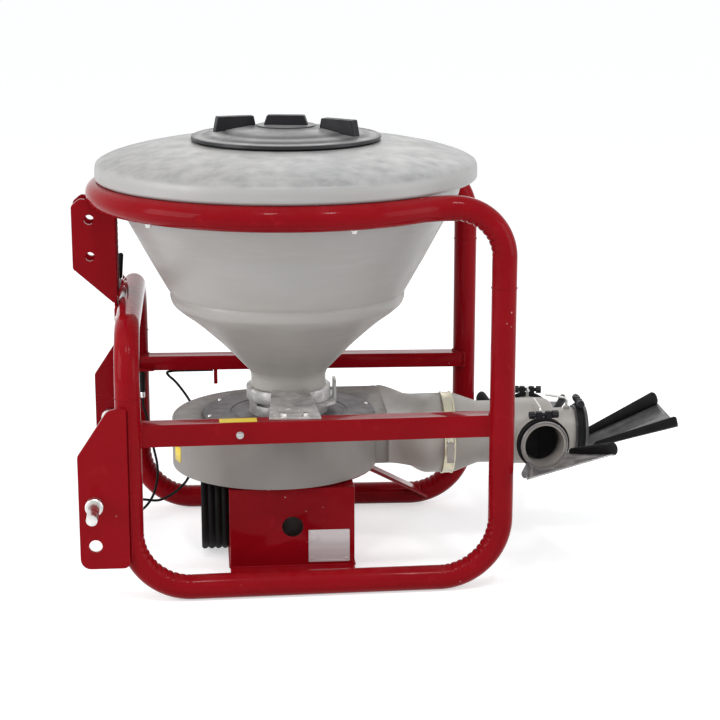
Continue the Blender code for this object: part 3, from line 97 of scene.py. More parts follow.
def add_node(tree, kind, sources=(), values=None, **settings):
    """A shader node with its settings, its input values and the sources of its first inputs."""
    made = tree.nodes.new("ShaderNode" + kind)
    for key, setting in settings.items():
        setattr(made, key, setting)
    for key, value in (values or {}).items():
        made.inputs[key].default_value = value
    for index, source in enumerate(sources):
        tree.links.new(source, made.inputs[index])
    return made


def empty_tree(owner):
    owner.use_nodes = True
    owner.node_tree.nodes.clear()
    return owner.node_tree


def show_by_ray(tree, plain, seen, output):
    """One shader for the rays that are seen (camera, glossy, transmission), a plain one for the rest."""
    rays = add_node(tree, "LightPath").outputs
    first = add_node(tree, "Math", (rays["Is Camera Ray"], rays["Is Glossy Ray"]), operation="MAXIMUM")
    second = add_node(tree, "Math", (first.outputs[0], rays["Is Transmission Ray"]), operation="MAXIMUM")
    choice = add_node(tree, "MixShader", (second.outputs[0], plain.outputs[0], seen.outputs[0]))
    add_node(tree, output, (choice.outputs[0],))


def make_floor():
    data = bmesh.new()
    bmesh.ops.create_grid(data, x_segments=1, y_segments=1, size=FLOOR_HALF)
    mesh = bpy.data.meshes.new("floor")
    data.to_mesh(mesh)
    data.free()
    paint = bpy.data.materials.new("floor_white")
    tree = empty_tree(paint)
    matt = add_node(tree, "BsdfDiffuse", values={"Color": (0.80, 0.80, 0.80, 1.0)})
    glow = add_node(tree, "Emission", values={"Strength": FLOOR_GLOW})
    both = add_node(tree, "AddShader", (matt.outputs[0], glow.outputs[0]))
    show_by_ray(tree, matt, both, "OutputMaterial")
    mesh.materials.append(paint)
    floor = bpy.data.objects.new("floor", mesh)
    bpy.context.collection.objects.link(floor)


def make_world():
    """A white room: full white where it is seen, a plainer level where it lights the machine."""
    world = bpy.data.worlds.new("white_room")
    bpy.context.scene.world = world
    tree = empty_tree(world)
    light = add_node(tree, "Background", values={"Color": (0.94, 0.97, 1.0, 1.0), "Strength": 0.60})
    seen = add_node(tree, "Background", values={"Color": (1.0, 1.0, 1.0, 1.0), "Strength": 1.0})
    show_by_ray(tree, light, seen, "OutputWorld")


make_floor()
make_world()
bpy.context.scene.view_settings.view_transform = "Standard"

# %% [markdown]
# ## Soft studio lamps
#
# A large lamp low on the left lights the cone and the drum from the side, so the undersides stay
# readable. Two small ones above the front put the short bright streaks on the enamelled ring. All of
# them stay weak, so that a colour renders about as it is written.

# %% Lamps
def make_lamp(name, place, aim, size, power):
    data = bpy.data.lights.new(name, "AREA")
    data.shape = "RECTANGLE"
    data.size, data.size_y = size
    data.energy = power
    lamp = bpy.data.objects.new(name, data)
    lamp.location = place
    lamp.rotation_mode = "QUATERNION"
    lamp.rotation_quaternion = (Vector(aim) - Vector(place)).to_track_quat("-Z", "Y")
    bpy.context.collection.objects.link(lamp)
    print(name, "at", place, "power", power)


middle = (0.0, 0.0, 0.45)
make_lamp("key_lamp", (-3.4, -1.3, 1.5), middle, (2.0, 2.0), 62.0)
make_lamp("fill_lamp", (3.2, -1.5, 1.2), middle, (2.0, 2.0), 34.0)
make_lamp("back_lamp", (0.4, 3.0, 2.2), middle, (2.4, 1.6), 12.0)
make_lamp("ceiling_lamp_left", (-0.62, -1.7, 3.1), middle, (0.22, 0.5), 16.0)
make_lamp("ceiling_lamp_right", (0.70, -1.7, 3.1), middle, (0.22, 0.5), 16.0)

# %% [markdown]
# ## How a finish is built
#
# Real paint, polythene and cast metal are never one flat colour. Each finish here starts from a
# Principled shader. Noise in the piece's own coordinates then varies its colour and its roughness, and
# a fine bump breaks up its highlights. A few small helpers keep each finish short to write.

# %% Helpers for finishes
EVEN = (1.0, 1.0, 1.0)


def principled(material):
    return material.node_tree.nodes["Principled BSDF"]


def new_finish(name, colour, roughness, more=None, metallic=0.0):
    """A Principled finish, with more of the shader's inputs by name."""
    material = bpy.data.materials.new(name)
    material.use_nodes = True
    values = {"Base Color": (*colour, 1.0), "Roughness": roughness, "Metallic": metallic} | (more or {})
    for key, value in values.items():
        principled(material).inputs[key].default_value = value
    return material


def coordinates(material, stretch=EVEN, shift=(0.0, 0.0, 0.0)):
    """Object coordinates, stretched and shifted."""
    tree = material.node_tree
    source = add_node(tree, "TexCoord").outputs["Object"]
    return add_node(tree, "Mapping", (source,), {"Scale": stretch, "Location": shift}).outputs["Vector"]


def noise(material, scale, detail=3.0, stretch=EVEN, rough=0.55):
    values = {"Scale": scale, "Detail": detail, "Roughness": rough}
    return add_node(material.node_tree, "TexNoise", (coordinates(material, stretch),), values).outputs["Fac"]


def specks(material, scale, size):
    """Small separate dots: 1 inside a dot, 0 outside it."""
    cells = add_node(material.node_tree, "TexVoronoi", (coordinates(material),), {"Scale": scale})
    return limits(material, cells.outputs["Distance"], size, size * 0.4)


def limits(material, socket, low, high, to_low=0.0, to_high=1.0):
    """Spread the part of a pattern between low and high over a new range."""
    values = {"From Min": low, "From Max": high, "To Min": to_low, "To Max": to_high}
    return add_node(material.node_tree, "MapRange", (socket,), values).outputs["Result"]


def times(material, first, second):
    return add_node(material.node_tree, "Math", (first, second), operation="MULTIPLY").outputs[0]


def tint(material, mask, colour):
    """Lay a colour over what the base colour has so far, as much as the mask says."""
    tree = material.node_tree
    base = principled(material).inputs["Base Color"]
    mix = add_node(tree, "Mix", (mask,), {7: (*colour, 1.0)}, data_type="RGBA")
    if base.is_linked:
        tree.links.new(base.links[0].from_socket, mix.inputs[6])
    else:
        mix.inputs[6].default_value = base.default_value
    tree.links.new(mix.outputs[2], base)


def facing_up(material, low, high):
    """A mask for surfaces that look upwards, where dust lies and where painted light is laid on top faces.
    """
    tree = material.node_tree
    normal = add_node(tree, "NewGeometry").outputs["Normal"]
    return limits(material, add_node(tree, "SeparateXYZ", (normal,)).outputs["Z"], low, high)


def height(material, low, high):
    """A mask that runs from 0 to 1 between two heights on the piece."""
    parts = add_node(material.node_tree, "SeparateXYZ", (coordinates(material),))
    return limits(material, parts.outputs["Z"], low, high)


def cloud(material, scale, detail, low, high, colour, stretch=EVEN, rough=0.55):
    """A colour laid over the part of a noise between low and high."""
    tint(material, limits(material, noise(material, scale, detail, stretch, rough), low, high), colour)


def upward_dust_and_light(material, up, grain, spread, amount, colour):
    """Dust on what faces up, patchy by a noise of that grain. In some finishes the same tint is painted
    sheen, in others painted shade.
    """
    mask = times(material, facing_up(material, *up), limits(material, noise(material, *grain), *spread))
    tint(material, limits(material, mask, 0.0, 1.0, 0.0, amount), colour)


def spots(material, scale, grain, spread, colour):
    """Small dots of a colour, only where a coarser noise is high."""
    patches = limits(material, noise(material, *grain), *spread)
    tint(material, times(material, specks(material, scale, 0.13), patches), colour)


def vary_roughness(material, scale, detail, low, high):
    """Roughness that follows a noise between two values."""
    socket = limits(material, noise(material, scale, detail), 0.3, 0.7, low, high)
    material.node_tree.links.new(socket, principled(material).inputs["Roughness"])


def relief(material, scale, detail, depth, strength, stretch=EVEN, rough=0.55):
    """Add a noisy bump of a depth in metres on top of the bumps so far."""
    tree = material.node_tree
    bump = add_node(tree, "Bump", values={"Distance": depth, "Strength": strength})
    tree.links.new(noise(material, scale, detail, stretch, rough), bump.inputs["Height"])
    normal = principled(material).inputs["Normal"]
    if normal.is_linked:
        tree.links.new(normal.links[0].from_socket, bump.inputs["Normal"])
    tree.links.new(bump.outputs["Normal"], normal)


# %% [markdown]
# ## Red enamel
#
# The frame is dipped or powder-coated in a deep red gloss. Thick paint over mill scale leaves a faint
# orange peel, and shipping has left pale nibs and rubbed spots. The white room would bleach the red, so
# the paint itself hardly mirrors. A clear coat with a low refractive index shines only at a grazing
# angle, which gives the pale rims without fading the front.

# %% Red enamel
HOPPER_X = -0.183


def make_red_enamel():
    paint = new_finish("red_enamel", (0.262, 0.0034, 0.0076), 0.32, {
        "Specular IOR Level": 0.01, "Coat Weight": 1.0, "Coat IOR": 1.13, "Coat Roughness": 0.09})
    cloud(paint, 5.0, 4.0, 0.42, 0.72, (0.215, 0.0026, 0.0066))
    cloud(paint, 38.0, 3.0, 0.60, 0.80, (0.30, 0.007, 0.012))
    # Partly dust, partly painted sheen: a pale pink tint on upward faces stands in for the pale reflection
    # on the tubes' tops.
    upward_dust_and_light(paint, (0.25, 1.0), (24.0, 5.0), (0.40, 0.85), 0.06, (0.50, 0.22, 0.21))
    spots(paint, 62.0, (9.0, 2.0), (0.64, 0.70), (0.62, 0.36, 0.34))
    vary_roughness(paint, 60.0, 3.0, 0.24, 0.40)
    relief(paint, 210.0, 2.0, 0.0010, 0.10)
    relief(paint, 26.0, 2.0, 0.0030, 0.10)
    return paint


red_enamel = make_red_enamel()

# %% [markdown]
# ## Plastics
#
# The hopper is blow-moulded polythene: greyish white and slightly waxy. Its dark film on upward faces is
# partly powder and partly painted shade, and its upper part is painted darker than the lower cone as
# painted shade. The fan's case is a darker copy of the warm grey moulding, partly its own tone and partly
# painted shade. Lid, inlet plate and deflectors are dark grey, but the near deflector's trough is painted
# light as a painted reflection, and grips and clamps are black. Streaks run round the hopper because it
# is wiped that way, so its noise is squeezed in height.

# %% Plastics
def make_polythene():
    skin = new_finish("hopper_polythene", (0.47, 0.445, 0.408), 0.46,
                      {"Coat Weight": 0.12, "Coat Roughness": 0.22})
    # Painted shade: from the neck up to the ring the hopper is painted darker and greyer, so the lower cone
    # stays lighter as if lit from below.
    tint(skin, height(skin, 0.40, 0.72), (0.390, 0.386, 0.378))
    cloud(skin, 4.0, 4.0, 0.40, 0.75, (0.385, 0.368, 0.344), (1.0, 1.0, 3.5))
    # Partly dust, partly painted shade: upward faces, the dome most, are darkened towards mid grey.
    upward_dust_and_light(skin, (0.2, 0.9), (30.0, 6.0), (0.35, 0.75), 0.95, (0.235, 0.235, 0.235))
    wiped = limits(skin, noise(skin, 9.0, 5.0, (1.0, 1.0, 9.0)), 0.52, 0.80, 0.0, 0.5)
    tint(skin, wiped, (0.47, 0.46, 0.44))
    spots(skin, 120.0, (6.0, 3.0), (0.60, 0.70), (0.22, 0.215, 0.21))
    vary_roughness(skin, 22.0, 4.0, 0.36, 0.56)
    relief(skin, 11.0, 3.0, 0.004, 0.12)
    relief(skin, 260.0, 2.0, 0.0006, 0.12)
    return skin


def make_moulding(name, colour, light, roughness, mirror=0.5, grain=320.0, dust_and_sheen=0.22, polish=0.0):
    """An injection-moulded plastic with a fine texture and a pale film on upward faces: dust, and on the
    near trough a painted reflection.
    """
    plastic = new_finish(name, colour, roughness, {
        "Coat Weight": polish, "Coat Roughness": 0.12, "Specular IOR Level": mirror})
    cloud(plastic, 7.0, 4.0, 0.38, 0.74, light)
    film = tuple(0.35 + 0.5 * value for value in light)
    upward_dust_and_light(plastic, (0.3, 1.0), (40.0, 5.0), (0.40, 0.80), dust_and_sheen, film)
    vary_roughness(plastic, 35.0, 3.0, roughness - 0.08, roughness + 0.10)
    relief(plastic, grain, 2.0, 0.0006, 0.20)
    relief(plastic, 14.0, 2.0, 0.003, 0.06)
    return plastic


hopper_polythene = make_polythene()
grey_moulding = make_moulding("grey_moulding", (0.365, 0.336, 0.306), (0.410, 0.386, 0.356), 0.42)
# Partly the drum's own tone, partly painted shade: the drum's finish is the grey moulding darkened, for the
# drum front that lies in shade.
shaded_drum_finish = make_moulding("shaded_drum_finish", (0.235, 0.216, 0.198), (0.270, 0.253, 0.236), 0.44, 0.40)
dark_moulding = make_moulding("dark_moulding", (0.090, 0.083, 0.086), (0.125, 0.116, 0.118), 0.50, 0.35)
trough_moulding = make_moulding("trough_moulding", (0.040, 0.037, 0.039), (0.062, 0.058, 0.060),
                                0.45, 0.40, dust_and_sheen=0.20, polish=0.25)
# Painted reflection: the near deflector's trough is a much lighter copy of the trough moulding with a heavy
# pale film on its upward faces, standing in for the white it mirrors.
near_trough_painted_reflection = make_moulding("near_trough_painted_reflection", (0.22, 0.20, 0.20), (0.30, 0.28, 0.28),
                                     0.30, dust_and_sheen=0.95, polish=1.0)
black_moulding = make_moulding("black_moulding", (0.010, 0.009, 0.011), (0.020, 0.018, 0.020),
                               0.46, 0.20, dust_and_sheen=0.16)
black_rubber = make_moulding("black_rubber", (0.006, 0.006, 0.006), (0.011, 0.011, 0.011),
                             0.68, 0.12, 190.0, 0.03)

# %% [markdown]
# ## The lid's pale rings of painted reflection
#
# Pale rings are painted on the lid's upward faces as painted reflection on its glossy stepped top. The
# mask for them is the distance from the hopper's axis: a Mapping node moves the axis to the pattern's
# middle.

# %% Lid finish
def painted_reflection_ring(material, middle_radius, half_width, amount, colour):
    """A pale ring of painted reflection round the hopper's axis, strongest on its middle radius."""
    tree = material.node_tree
    centred = coordinates(material, (1.0, 1.0, 0.0), (-HOPPER_X, 0.0, 0.0))
    reach = add_node(tree, "VectorMath", (centred,), operation="LENGTH").outputs["Value"]
    away = add_node(tree, "Math", (reach,), {1: middle_radius}, operation="SUBTRACT").outputs[0]
    off = add_node(tree, "Math", (away,), operation="ABSOLUTE").outputs[0]
    band = limits(material, off, half_width, half_width * 0.3, 0.0, amount)
    patchy = limits(material, noise(material, 17.0, 4.0), 0.25, 0.62, 0.35, 1.0)
    tint(material, times(material, times(material, band, patchy), facing_up(material, 0.3, 0.8)), colour)


def make_lid_finish():
    cover = new_finish("lid_plastic", (0.018, 0.018, 0.020), 0.40, {"Specular IOR Level": 0.25})
    cloud(cover, 9.0, 4.0, 0.40, 0.74, (0.034, 0.034, 0.036))
    # Painted reflection: the lid's upward faces are lightened to grey, standing in for the white room
    # mirrored in its glossy top.
    tint(cover, limits(cover, facing_up(cover, 0.5, 0.97), 0.0, 1.0, 0.0, 0.75), (0.120, 0.120, 0.121))
    painted_reflection_ring(cover, 0.175, 0.012, 0.75, (0.40, 0.39, 0.375))
    painted_reflection_ring(cover, 0.141, 0.017, 0.70, (0.40, 0.39, 0.375))
    painted_reflection_ring(cover, 0.094, 0.028, 0.85, (0.37, 0.36, 0.35))
    painted_reflection_ring(cover, 0.030, 0.030, 0.55, (0.36, 0.35, 0.34))
    vary_roughness(cover, 28.0, 4.0, 0.30, 0.50)
    relief(cover, 240.0, 2.0, 0.0006, 0.20)
    return cover


lid_plastic = make_lid_finish()

# %% [markdown]
# ## Metals
#
# The hitch pins and bolts are zinc plated, the strap is the yellower passivated kind, and the gate is a
# rough sand casting with dirt in its pores. Cast metal gets coarse relief and dark blotches, and plated
# metal gets only faint clouds.

# %% Metals
def make_plated(name, colour, light, roughness):
    metal = new_finish(name, colour, roughness, metallic=1.0)
    cloud(metal, 45.0, 4.0, 0.40, 0.72, light)
    vary_roughness(metal, 80.0, 3.0, roughness - 0.10, roughness + 0.14)
    relief(metal, 420.0, 2.0, 0.0003, 0.20)
    return metal


def make_casting():
    metal = new_finish("cast_aluminium", (0.62, 0.61, 0.59), 0.52, metallic=0.55)
    cloud(metal, 22.0, 5.0, 0.42, 0.66, (0.33, 0.325, 0.32))
    cloud(metal, 60.0, 6.0, 0.58, 0.74, (0.12, 0.115, 0.11), rough=0.7)
    cloud(metal, 34.0, 4.0, 0.60, 0.70, (0.85, 0.84, 0.81), rough=0.7)
    vary_roughness(metal, 50.0, 4.0, 0.38, 0.68)
    relief(metal, 120.0, 4.0, 0.0014, 0.45, rough=0.65)
    relief(metal, 32.0, 3.0, 0.003, 0.25)
    return metal


def make_plate_finish():
    """Bare brushed plate, its brush marks along X."""
    metal = new_finish("bare_plate", (0.62, 0.585, 0.585), 0.45, metallic=0.35)
    cloud(metal, 90.0, 4.0, 0.40, 0.70, (0.70, 0.665, 0.665), (0.05, 1.0, 1.0))
    cloud(metal, 20.0, 3.0, 0.55, 0.80, (0.42, 0.40, 0.40))
    relief(metal, 300.0, 2.0, 0.0002, 0.25, (0.05, 1.0, 1.0))
    return metal


def make_yellow_film():
    film = new_finish("yellow_film", (0.86, 0.64, 0.030), 0.42)
    cloud(film, 70.0, 4.0, 0.50, 0.75, (0.72, 0.55, 0.08))
    cloud(film, 260.0, 3.0, 0.60, 0.72, (0.40, 0.32, 0.05))
    relief(film, 150.0, 2.0, 0.0003, 0.20)
    return film


bright_zinc = make_plated("bright_zinc", (0.72, 0.71, 0.69), (0.56, 0.56, 0.55), 0.30)
yellow_zinc = make_plated("yellow_zinc", (0.66, 0.62, 0.46), (0.55, 0.54, 0.44), 0.34)
machined_steel = make_plated("machined_steel", (0.50, 0.50, 0.51), (0.36, 0.35, 0.34), 0.34)
cast_aluminium = make_casting()
bare_plate = make_plate_finish()
yellow_film = make_yellow_film()
print(len(bpy.data.materials), "materials")

# %% [markdown]
# ## From a shape to a piece
#
# Every shape is laid out from the hopper's upright axis, because nearly everything is measured from
# there. One helper moves it to its place in the whole machine, in the mesh itself, hides the CAD node
# it stands for and hangs it on the body it rides on.

# %% Helpers for pieces
UPWARD, ACROSS, ALONG = Vector((0.0, 0.0, 1.0)), Vector((0.0, 1.0, 0.0)), Vector((1.0, 0.0, 0.0))
SIDES = (("near", -1), ("far", 1))


def place(name, data, finish, node=None, body="frame", slot=None, bevel=0.0, sharp=32.0, segments=2):
    bmesh.ops.recalc_face_normals(data, faces=data.faces)
    bmesh.ops.translate(data, verts=data.verts, vec=(HOPPER_X, 0.0, 0.0))
    mesh = bpy.data.meshes.new(name)
    data.to_mesh(mesh)
    data.free()
    mesh.materials.append(finish)
    mesh.shade_smooth()
    piece = bpy.data.objects.new(name, mesh)
    bpy.context.collection.objects.link(piece)
    if bevel:
        modifier = piece.modifiers.new("soft_edges", "BEVEL")
        modifier.width = bevel
        modifier.segments = segments
        modifier.limit_method = "ANGLE"
        modifier.angle_limit = math.radians(sharp)
        modifier.harden_normals = True
    else:
        mesh.set_sharp_from_angle(angle=math.radians(sharp))
    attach(piece, body)
    if node:
        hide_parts(node)
    return piece


def give_wall(piece, thickness, offset=-1.0):
    wall = piece.modifiers.new("wall", "SOLIDIFY")
    wall.thickness = thickness
    wall.offset = offset
    return wall


def verts_of(items):
    return [item for item in items if isinstance(item, bmesh.types.BMVert)]


def edges_of(items):
    return [item for item in items if isinstance(item, bmesh.types.BMEdge)]


def closed_loop(data, points):
    """Edges that run once round through the points."""
    verts = [data.verts.new(point) for point in points]
    return [data.edges.new(pair) for pair in zip(verts, verts[1:] + verts[:1])]


def arc(start, end, steps, low=0):
    """Angles in radians from start to end degrees, from step low on."""
    return [math.radians(start + (end - start) * step / steps) for step in range(low, steps + 1)]


def rod(start, end, radius, sides=32):
    """A round bar between two points."""
    data = bmesh.new()
    start, end = Vector(start), Vector(end)
    turn = (end - start).to_track_quat("Z", "Y").to_matrix().to_4x4()
    bmesh.ops.create_cone(data, cap_ends=True, segments=sides, radius1=radius, radius2=radius,
                          depth=(end - start).length, matrix=Matrix.Translation((start + end) / 2) @ turn)
    return data


def lathe(profile, steps=96, matrix=Matrix.Identity(4), closed=True):
    """Spin a profile of (radius, height) points about the local Z axis."""
    data = bmesh.new()
    verts = [data.verts.new((radius, 0.0, high)) for radius, high in profile]
    pairs = list(zip(verts, verts[1:]))
    if closed:
        pairs.append((verts[-1], verts[0]))
    edges = [data.edges.new(pair) for pair in pairs]
    bmesh.ops.spin(data, geom=verts + edges, cent=(0, 0, 0), axis=(0, 0, 1), dvec=(0, 0, 0),
                   angle=math.tau, steps=steps, use_merge=True)
    bmesh.ops.remove_doubles(data, verts=data.verts, dist=1e-6)
    return moved(data, matrix)


def bend(before, corner, after, radius, steps):
    """Centre of a bend and the arms from it to each of its points."""
    before, after = (before - corner).normalized(), (after - corner).normalized()
    half = before.angle(after) / 2
    centre = corner + (before + after).normalized() * radius / math.sin(half)
    start = corner + before * radius / math.tan(half) - centre
    if len(corner) == 2:
        whole = start.angle_signed(corner + after * radius / math.tan(half) - centre)
        return centre, [Matrix.Rotation(-whole * step / steps, 2) @ start for step in range(steps + 1)]
    whole, axis = math.pi - 2 * half, before.cross(after)
    return centre, [Matrix.Rotation(-whole * step / steps, 3, axis) @ start for step in range(steps + 1)]


def eased(corners, steps=5):
    """An outline from (u, v, radius) corners, each rounded by its radius."""
    points = []
    for index, (u, v, radius) in enumerate(corners):
        if radius == 0:
            points.append((u, v))
            continue
        before, after = Vector(corners[index - 1][:2]), Vector(corners[(index + 1) % len(corners)][:2])
        centre, arms = bend(before, Vector((u, v)), after, radius, steps)
        points += [tuple(centre + arm) for arm in arms]
    return points


def rounded_box(low, high, radius, steps=5):
    """Outline of a rectangle between two corners."""
    return eased([(low[0], low[1], radius), (high[0], low[1], radius), (high[0], high[1], radius),
                  (low[0], high[1], radius)], steps)


def circle(u, v, radius, steps=48):
    turns = [math.tau * step / steps for step in range(steps)]
    return [(u + radius * math.cos(turn), v + radius * math.sin(turn)) for turn in turns]


def sheet(outline, thickness, matrix, holes=()):
    """A flat plate from an outline and round holes, its thickness along the matrix's Z."""
    data = bmesh.new()
    edges = []
    for loop in [outline] + [circle(*hole) for hole in holes]:
        edges += closed_loop(data, [(u, v, 0.0) for u, v in loop])
    bmesh.ops.triangle_fill(data, use_beauty=True, use_dissolve=False, edges=edges)
    grown = bmesh.ops.extrude_face_region(data, geom=data.faces[:])["geom"]
    bmesh.ops.translate(data, verts=verts_of(grown), vec=(0.0, 0.0, thickness))
    return moved(data, matrix)


def moved(data, matrix):
    bmesh.ops.transform(data, matrix=matrix, verts=data.verts)
    return data


def at(x, y, z):
    return Matrix.Translation((x, y, z))


def turned(degrees, axis):
    return Matrix.Rotation(math.radians(degrees), 4, axis)


def upright_xz(y):
    """Outline u along X, v along Z, thickness along +Y from y."""
    return Matrix(((1, 0, 0, 0), (0, 0, 1, y), (0, 1, 0, 0), (0, 0, 0, 1)))


def upright_yz(x):
    """Outline u along Y, v along Z, thickness along +X from x."""
    return Matrix(((0, 0, 1, x), (1, 0, 0, 0), (0, 1, 0, 0), (0, 0, 0, 1)))


def along_x(x, y, z):
    """Local Z turned to +X."""
    return at(x, y, z) @ turned(90, "Y")


def along_y(x, y, z, way=1):
    """Local Z turned to +Y, or to -Y where way is -1."""
    return at(x, y, z) @ turned(-90 * way, "X")


def merged(*parts):
    """Several shapes in one mesh."""
    whole = bmesh.new()
    for part in parts:
        mesh = bpy.data.meshes.new("part")
        part.to_mesh(mesh)
        part.free()
        whole.from_mesh(mesh)
        bpy.data.meshes.remove(mesh)
    return whole


def dress(node, name, finish, bevel, body="frame", slot=None, segments=2):
    """A merged, softened copy of a CAD node's mesh, its flats made whole again."""
    data = bmesh.new()
    data.from_mesh(frame["nodes"][node].data)
    bmesh.ops.remove_doubles(data, verts=data.verts, dist=2e-6)
    bmesh.ops.dissolve_limit(data, angle_limit=math.radians(0.5), verts=data.verts, edges=data.edges)
    bmesh.ops.translate(data, verts=data.verts, vec=(-HOPPER_X, 0.0, 0.0))
    place(name, data, finish, node, body, slot, bevel, segments=segments)

# %% [markdown]
# ## The control cable
#
# A stiff black push-pull cable drops out of a rubber boot, makes a loop over the front runner, climbs
# behind the fan and ends at a stop on the far cross bar. Its points are chosen as a fitter would hold it,
# and a smooth curve runs through them. It comes early, because a cord's room is checked.

# %% Control cable
CABLE_R = 0.00275
CABLE_ROUTE = [
    (-0.306, 0.248, 0.2755), (-0.306, 0.248, 0.258), (-0.3045, 0.248, 0.242), (-0.2985, 0.246, 0.219),
    (-0.2865, 0.242, 0.157), (-0.2780, 0.236, 0.113), (-0.2800, 0.228, 0.076),
    (-0.2910, 0.216, 0.045), (-0.3110, 0.202, 0.024), (-0.3330, 0.190, 0.020),
    (-0.3440, 0.182, 0.032), (-0.3350, 0.180, 0.047), (-0.3140, 0.184, 0.052),
    (-0.2790, 0.190, 0.047), (-0.2550, 0.195, 0.054), (-0.2290, 0.200, 0.071),
    (-0.2090, 0.206, 0.096), (-0.1960, 0.216, 0.142), (-0.1920, 0.224, 0.200),
    (-0.1965, 0.230, 0.238), (-0.2080, 0.234, 0.264), (-0.2320, 0.240, 0.297),
    (-0.2480, 0.247, 0.311), (-0.2520, 0.257, 0.3162), (-0.2420, 0.266, 0.3170),
    (-0.2240, 0.269, 0.3170), (-0.1850, 0.269, 0.3170), (-0.1525, 0.269, 0.3170),
]


def smooth_route(points, per_span):
    """Points of a smooth curve through the route's own points."""
    points = [Vector(point) for point in points]
    padded = [points[0] * 2 - points[1]] + points + [points[-1] * 2 - points[-2]]
    result = []
    for before, start, end, after in zip(padded, padded[1:], padded[2:], padded[3:]):
        for step in range(per_span):
            t = step / per_span
            result.append(0.5 * ((2 * start) + (end - before) * t
                                 + (2 * before - 5 * start + 4 * end - after) * t * t
                                 + (3 * start - before - 3 * end + after) * t * t * t))
    return result + [points[-1]]


def swept(points, radius, sides, side=ACROSS, shape=None):
    """A round bar along a path, without twist. A shape rule may move each ring's points."""
    data = bmesh.new()
    frames = []
    for index, point in enumerate(points):
        before, after = points[max(index - 1, 0)], points[min(index + 1, len(points) - 1)]
        ahead = (after - before).normalized()
        side = (side - ahead * side.dot(ahead)).normalized()
        turn = Matrix((side, ahead.cross(side), ahead)).transposed().to_4x4()
        frames.append(Matrix.Translation(point) @ turn)
    bmesh.ops.create_circle(data, cap_ends=True, radius=radius, segments=sides, matrix=frames[0])
    rings = [data.verts[:]]
    end = data.faces[:]
    for index, (start, finish) in enumerate(zip(frames, frames[1:])):
        grown = bmesh.ops.extrude_face_region(data, geom=end)["geom"]
        if index:
            bmesh.ops.delete(data, geom=end, context="FACES")
        end = [item for item in grown if isinstance(item, bmesh.types.BMFace)]
        rings.append(verts_of(grown))
        bmesh.ops.transform(data, matrix=finish @ start.inverted(), verts=rings[-1])
    if shape:
        for index, ring in enumerate(rings):
            for vert in ring:
                vert.co += shape(index, vert.co - points[index])
    return data


def make_cable():
    route = smooth_route(CABLE_ROUTE, 6)
    cable = place("control_cable_sheath", swept(route, CABLE_R, 16), black_rubber, "control_cable",
                  sharp=60.0)


make_cable()

# %% [markdown]
# ## Bent tubes with folds
#
# The frame is thin pipe bent without a mandrel, so the inside of each tight bend is gathered in a row
# of sharp little folds. A tube is a circle extruded from station to station along its path. In a bend
# each station also knows the way to the bend's centre, and the points on that side are pulled in
# between the crests.

# %% Tube paths
TUBE_R = 0.02415
TUBE_SIDES = 48
REAR_X, FRONT_X = 0.3995, -0.3164
REAR_HALF_Y, FRONT_HALF_Y = 0.2705, 0.2910
RING_R, RING_Z = 0.3754, 0.7540
RING_BLEND_R, RING_DROP_R = 0.120, 0.097
REAR_FOOT_R, FRONT_FOOT_R = 0.120, 0.115
ARCH_Z, ARCH_BEND_R = 0.524, 0.100
REAR_WELD_Z, FRONT_WELD_Z = 0.600, 0.405
FOLD_PITCH = 0.0150
FOLD_DEPTH = 0.0036
STEPS_PER_FOLD = 8
GAP = 0.0003


def bend_stations(corners, folded=True, smooth_steps=24):
    """Stations along a tube: its point, the way to the bend's centre, fold count and fold swell."""
    stations = []
    for index, (corner, radius) in enumerate(corners):
        corner = Vector(corner)
        if radius == 0:
            stations.append((corner, None, 0.0, 0.0))
            continue
        before, after = Vector(corners[index - 1][0]), Vector(corners[index + 1][0])
        whole = math.pi - (before - corner).angle(after - corner)
        folds = round(radius * whole / FOLD_PITCH)
        steps = folds * STEPS_PER_FOLD if folded else smooth_steps
        centre, arms = bend(before, corner, after, radius, steps)
        for step, arm in enumerate(arms):
            share = step / steps
            swell = math.sin(math.pi * share) ** 0.45 if folded and 0 < step < steps else 0.0
            stations.append((centre + arm, -arm.normalized(), folds * share, swell))
    return stations


def folded_tube(stations, side=ACROSS):
    """A swept tube whose inner bends are gathered."""
    def gather(index, offset):
        _, inward, count, swell = stations[index]
        if not swell:
            return Vector((0.0, 0.0, 0.0))
        out = offset.normalized()
        facing = max(out.dot(inward), 0.0) ** 1.6
        crest = abs(math.sin(math.pi * count)) ** 0.7
        uneven = 0.72 + 0.28 * math.sin(2.3 * math.floor(count) + 1.0)
        return -out * FOLD_DEPTH * swell * uneven * facing * (1.0 - crest)
    return swept([station[0] for station in stations], TUBE_R, TUBE_SIDES, side, gather)


def hoop_stations():
    """Near rear leg, its bend, the blend into the ring, the ring, and the same mirrored."""
    blend = math.acos((REAR_HALF_Y + RING_BLEND_R) / (RING_R + RING_BLEND_R))
    blend_x = (RING_R + RING_BLEND_R) * math.sin(blend)
    near = bend_stations([((REAR_X, -REAR_HALF_Y, REAR_WELD_Z + GAP), 0),
                          ((REAR_X, -REAR_HALF_Y, RING_Z), RING_DROP_R),
                          ((blend_x, -REAR_HALF_Y, RING_Z), 0)])
    points = [(blend_x - RING_BLEND_R * math.sin(turn), -REAR_HALF_Y - RING_BLEND_R * (1 - math.cos(turn)))
              for turn in [blend * step / 12 for step in range(1, 12)]]
    points += [(RING_R * math.sin(turn), -RING_R * math.cos(turn))
               for turn in [blend - (blend + math.pi / 2) * step / 72 for step in range(73)]]
    near += [(Vector((x, y, RING_Z)), None, 0.0, 0.0) for x, y in points]
    mirror = Matrix.Diagonal((1.0, -1.0, 1.0))
    return near + [(mirror @ point, inward and mirror @ inward, count, swell)
                   for point, inward, count, swell in near[-2::-1]]


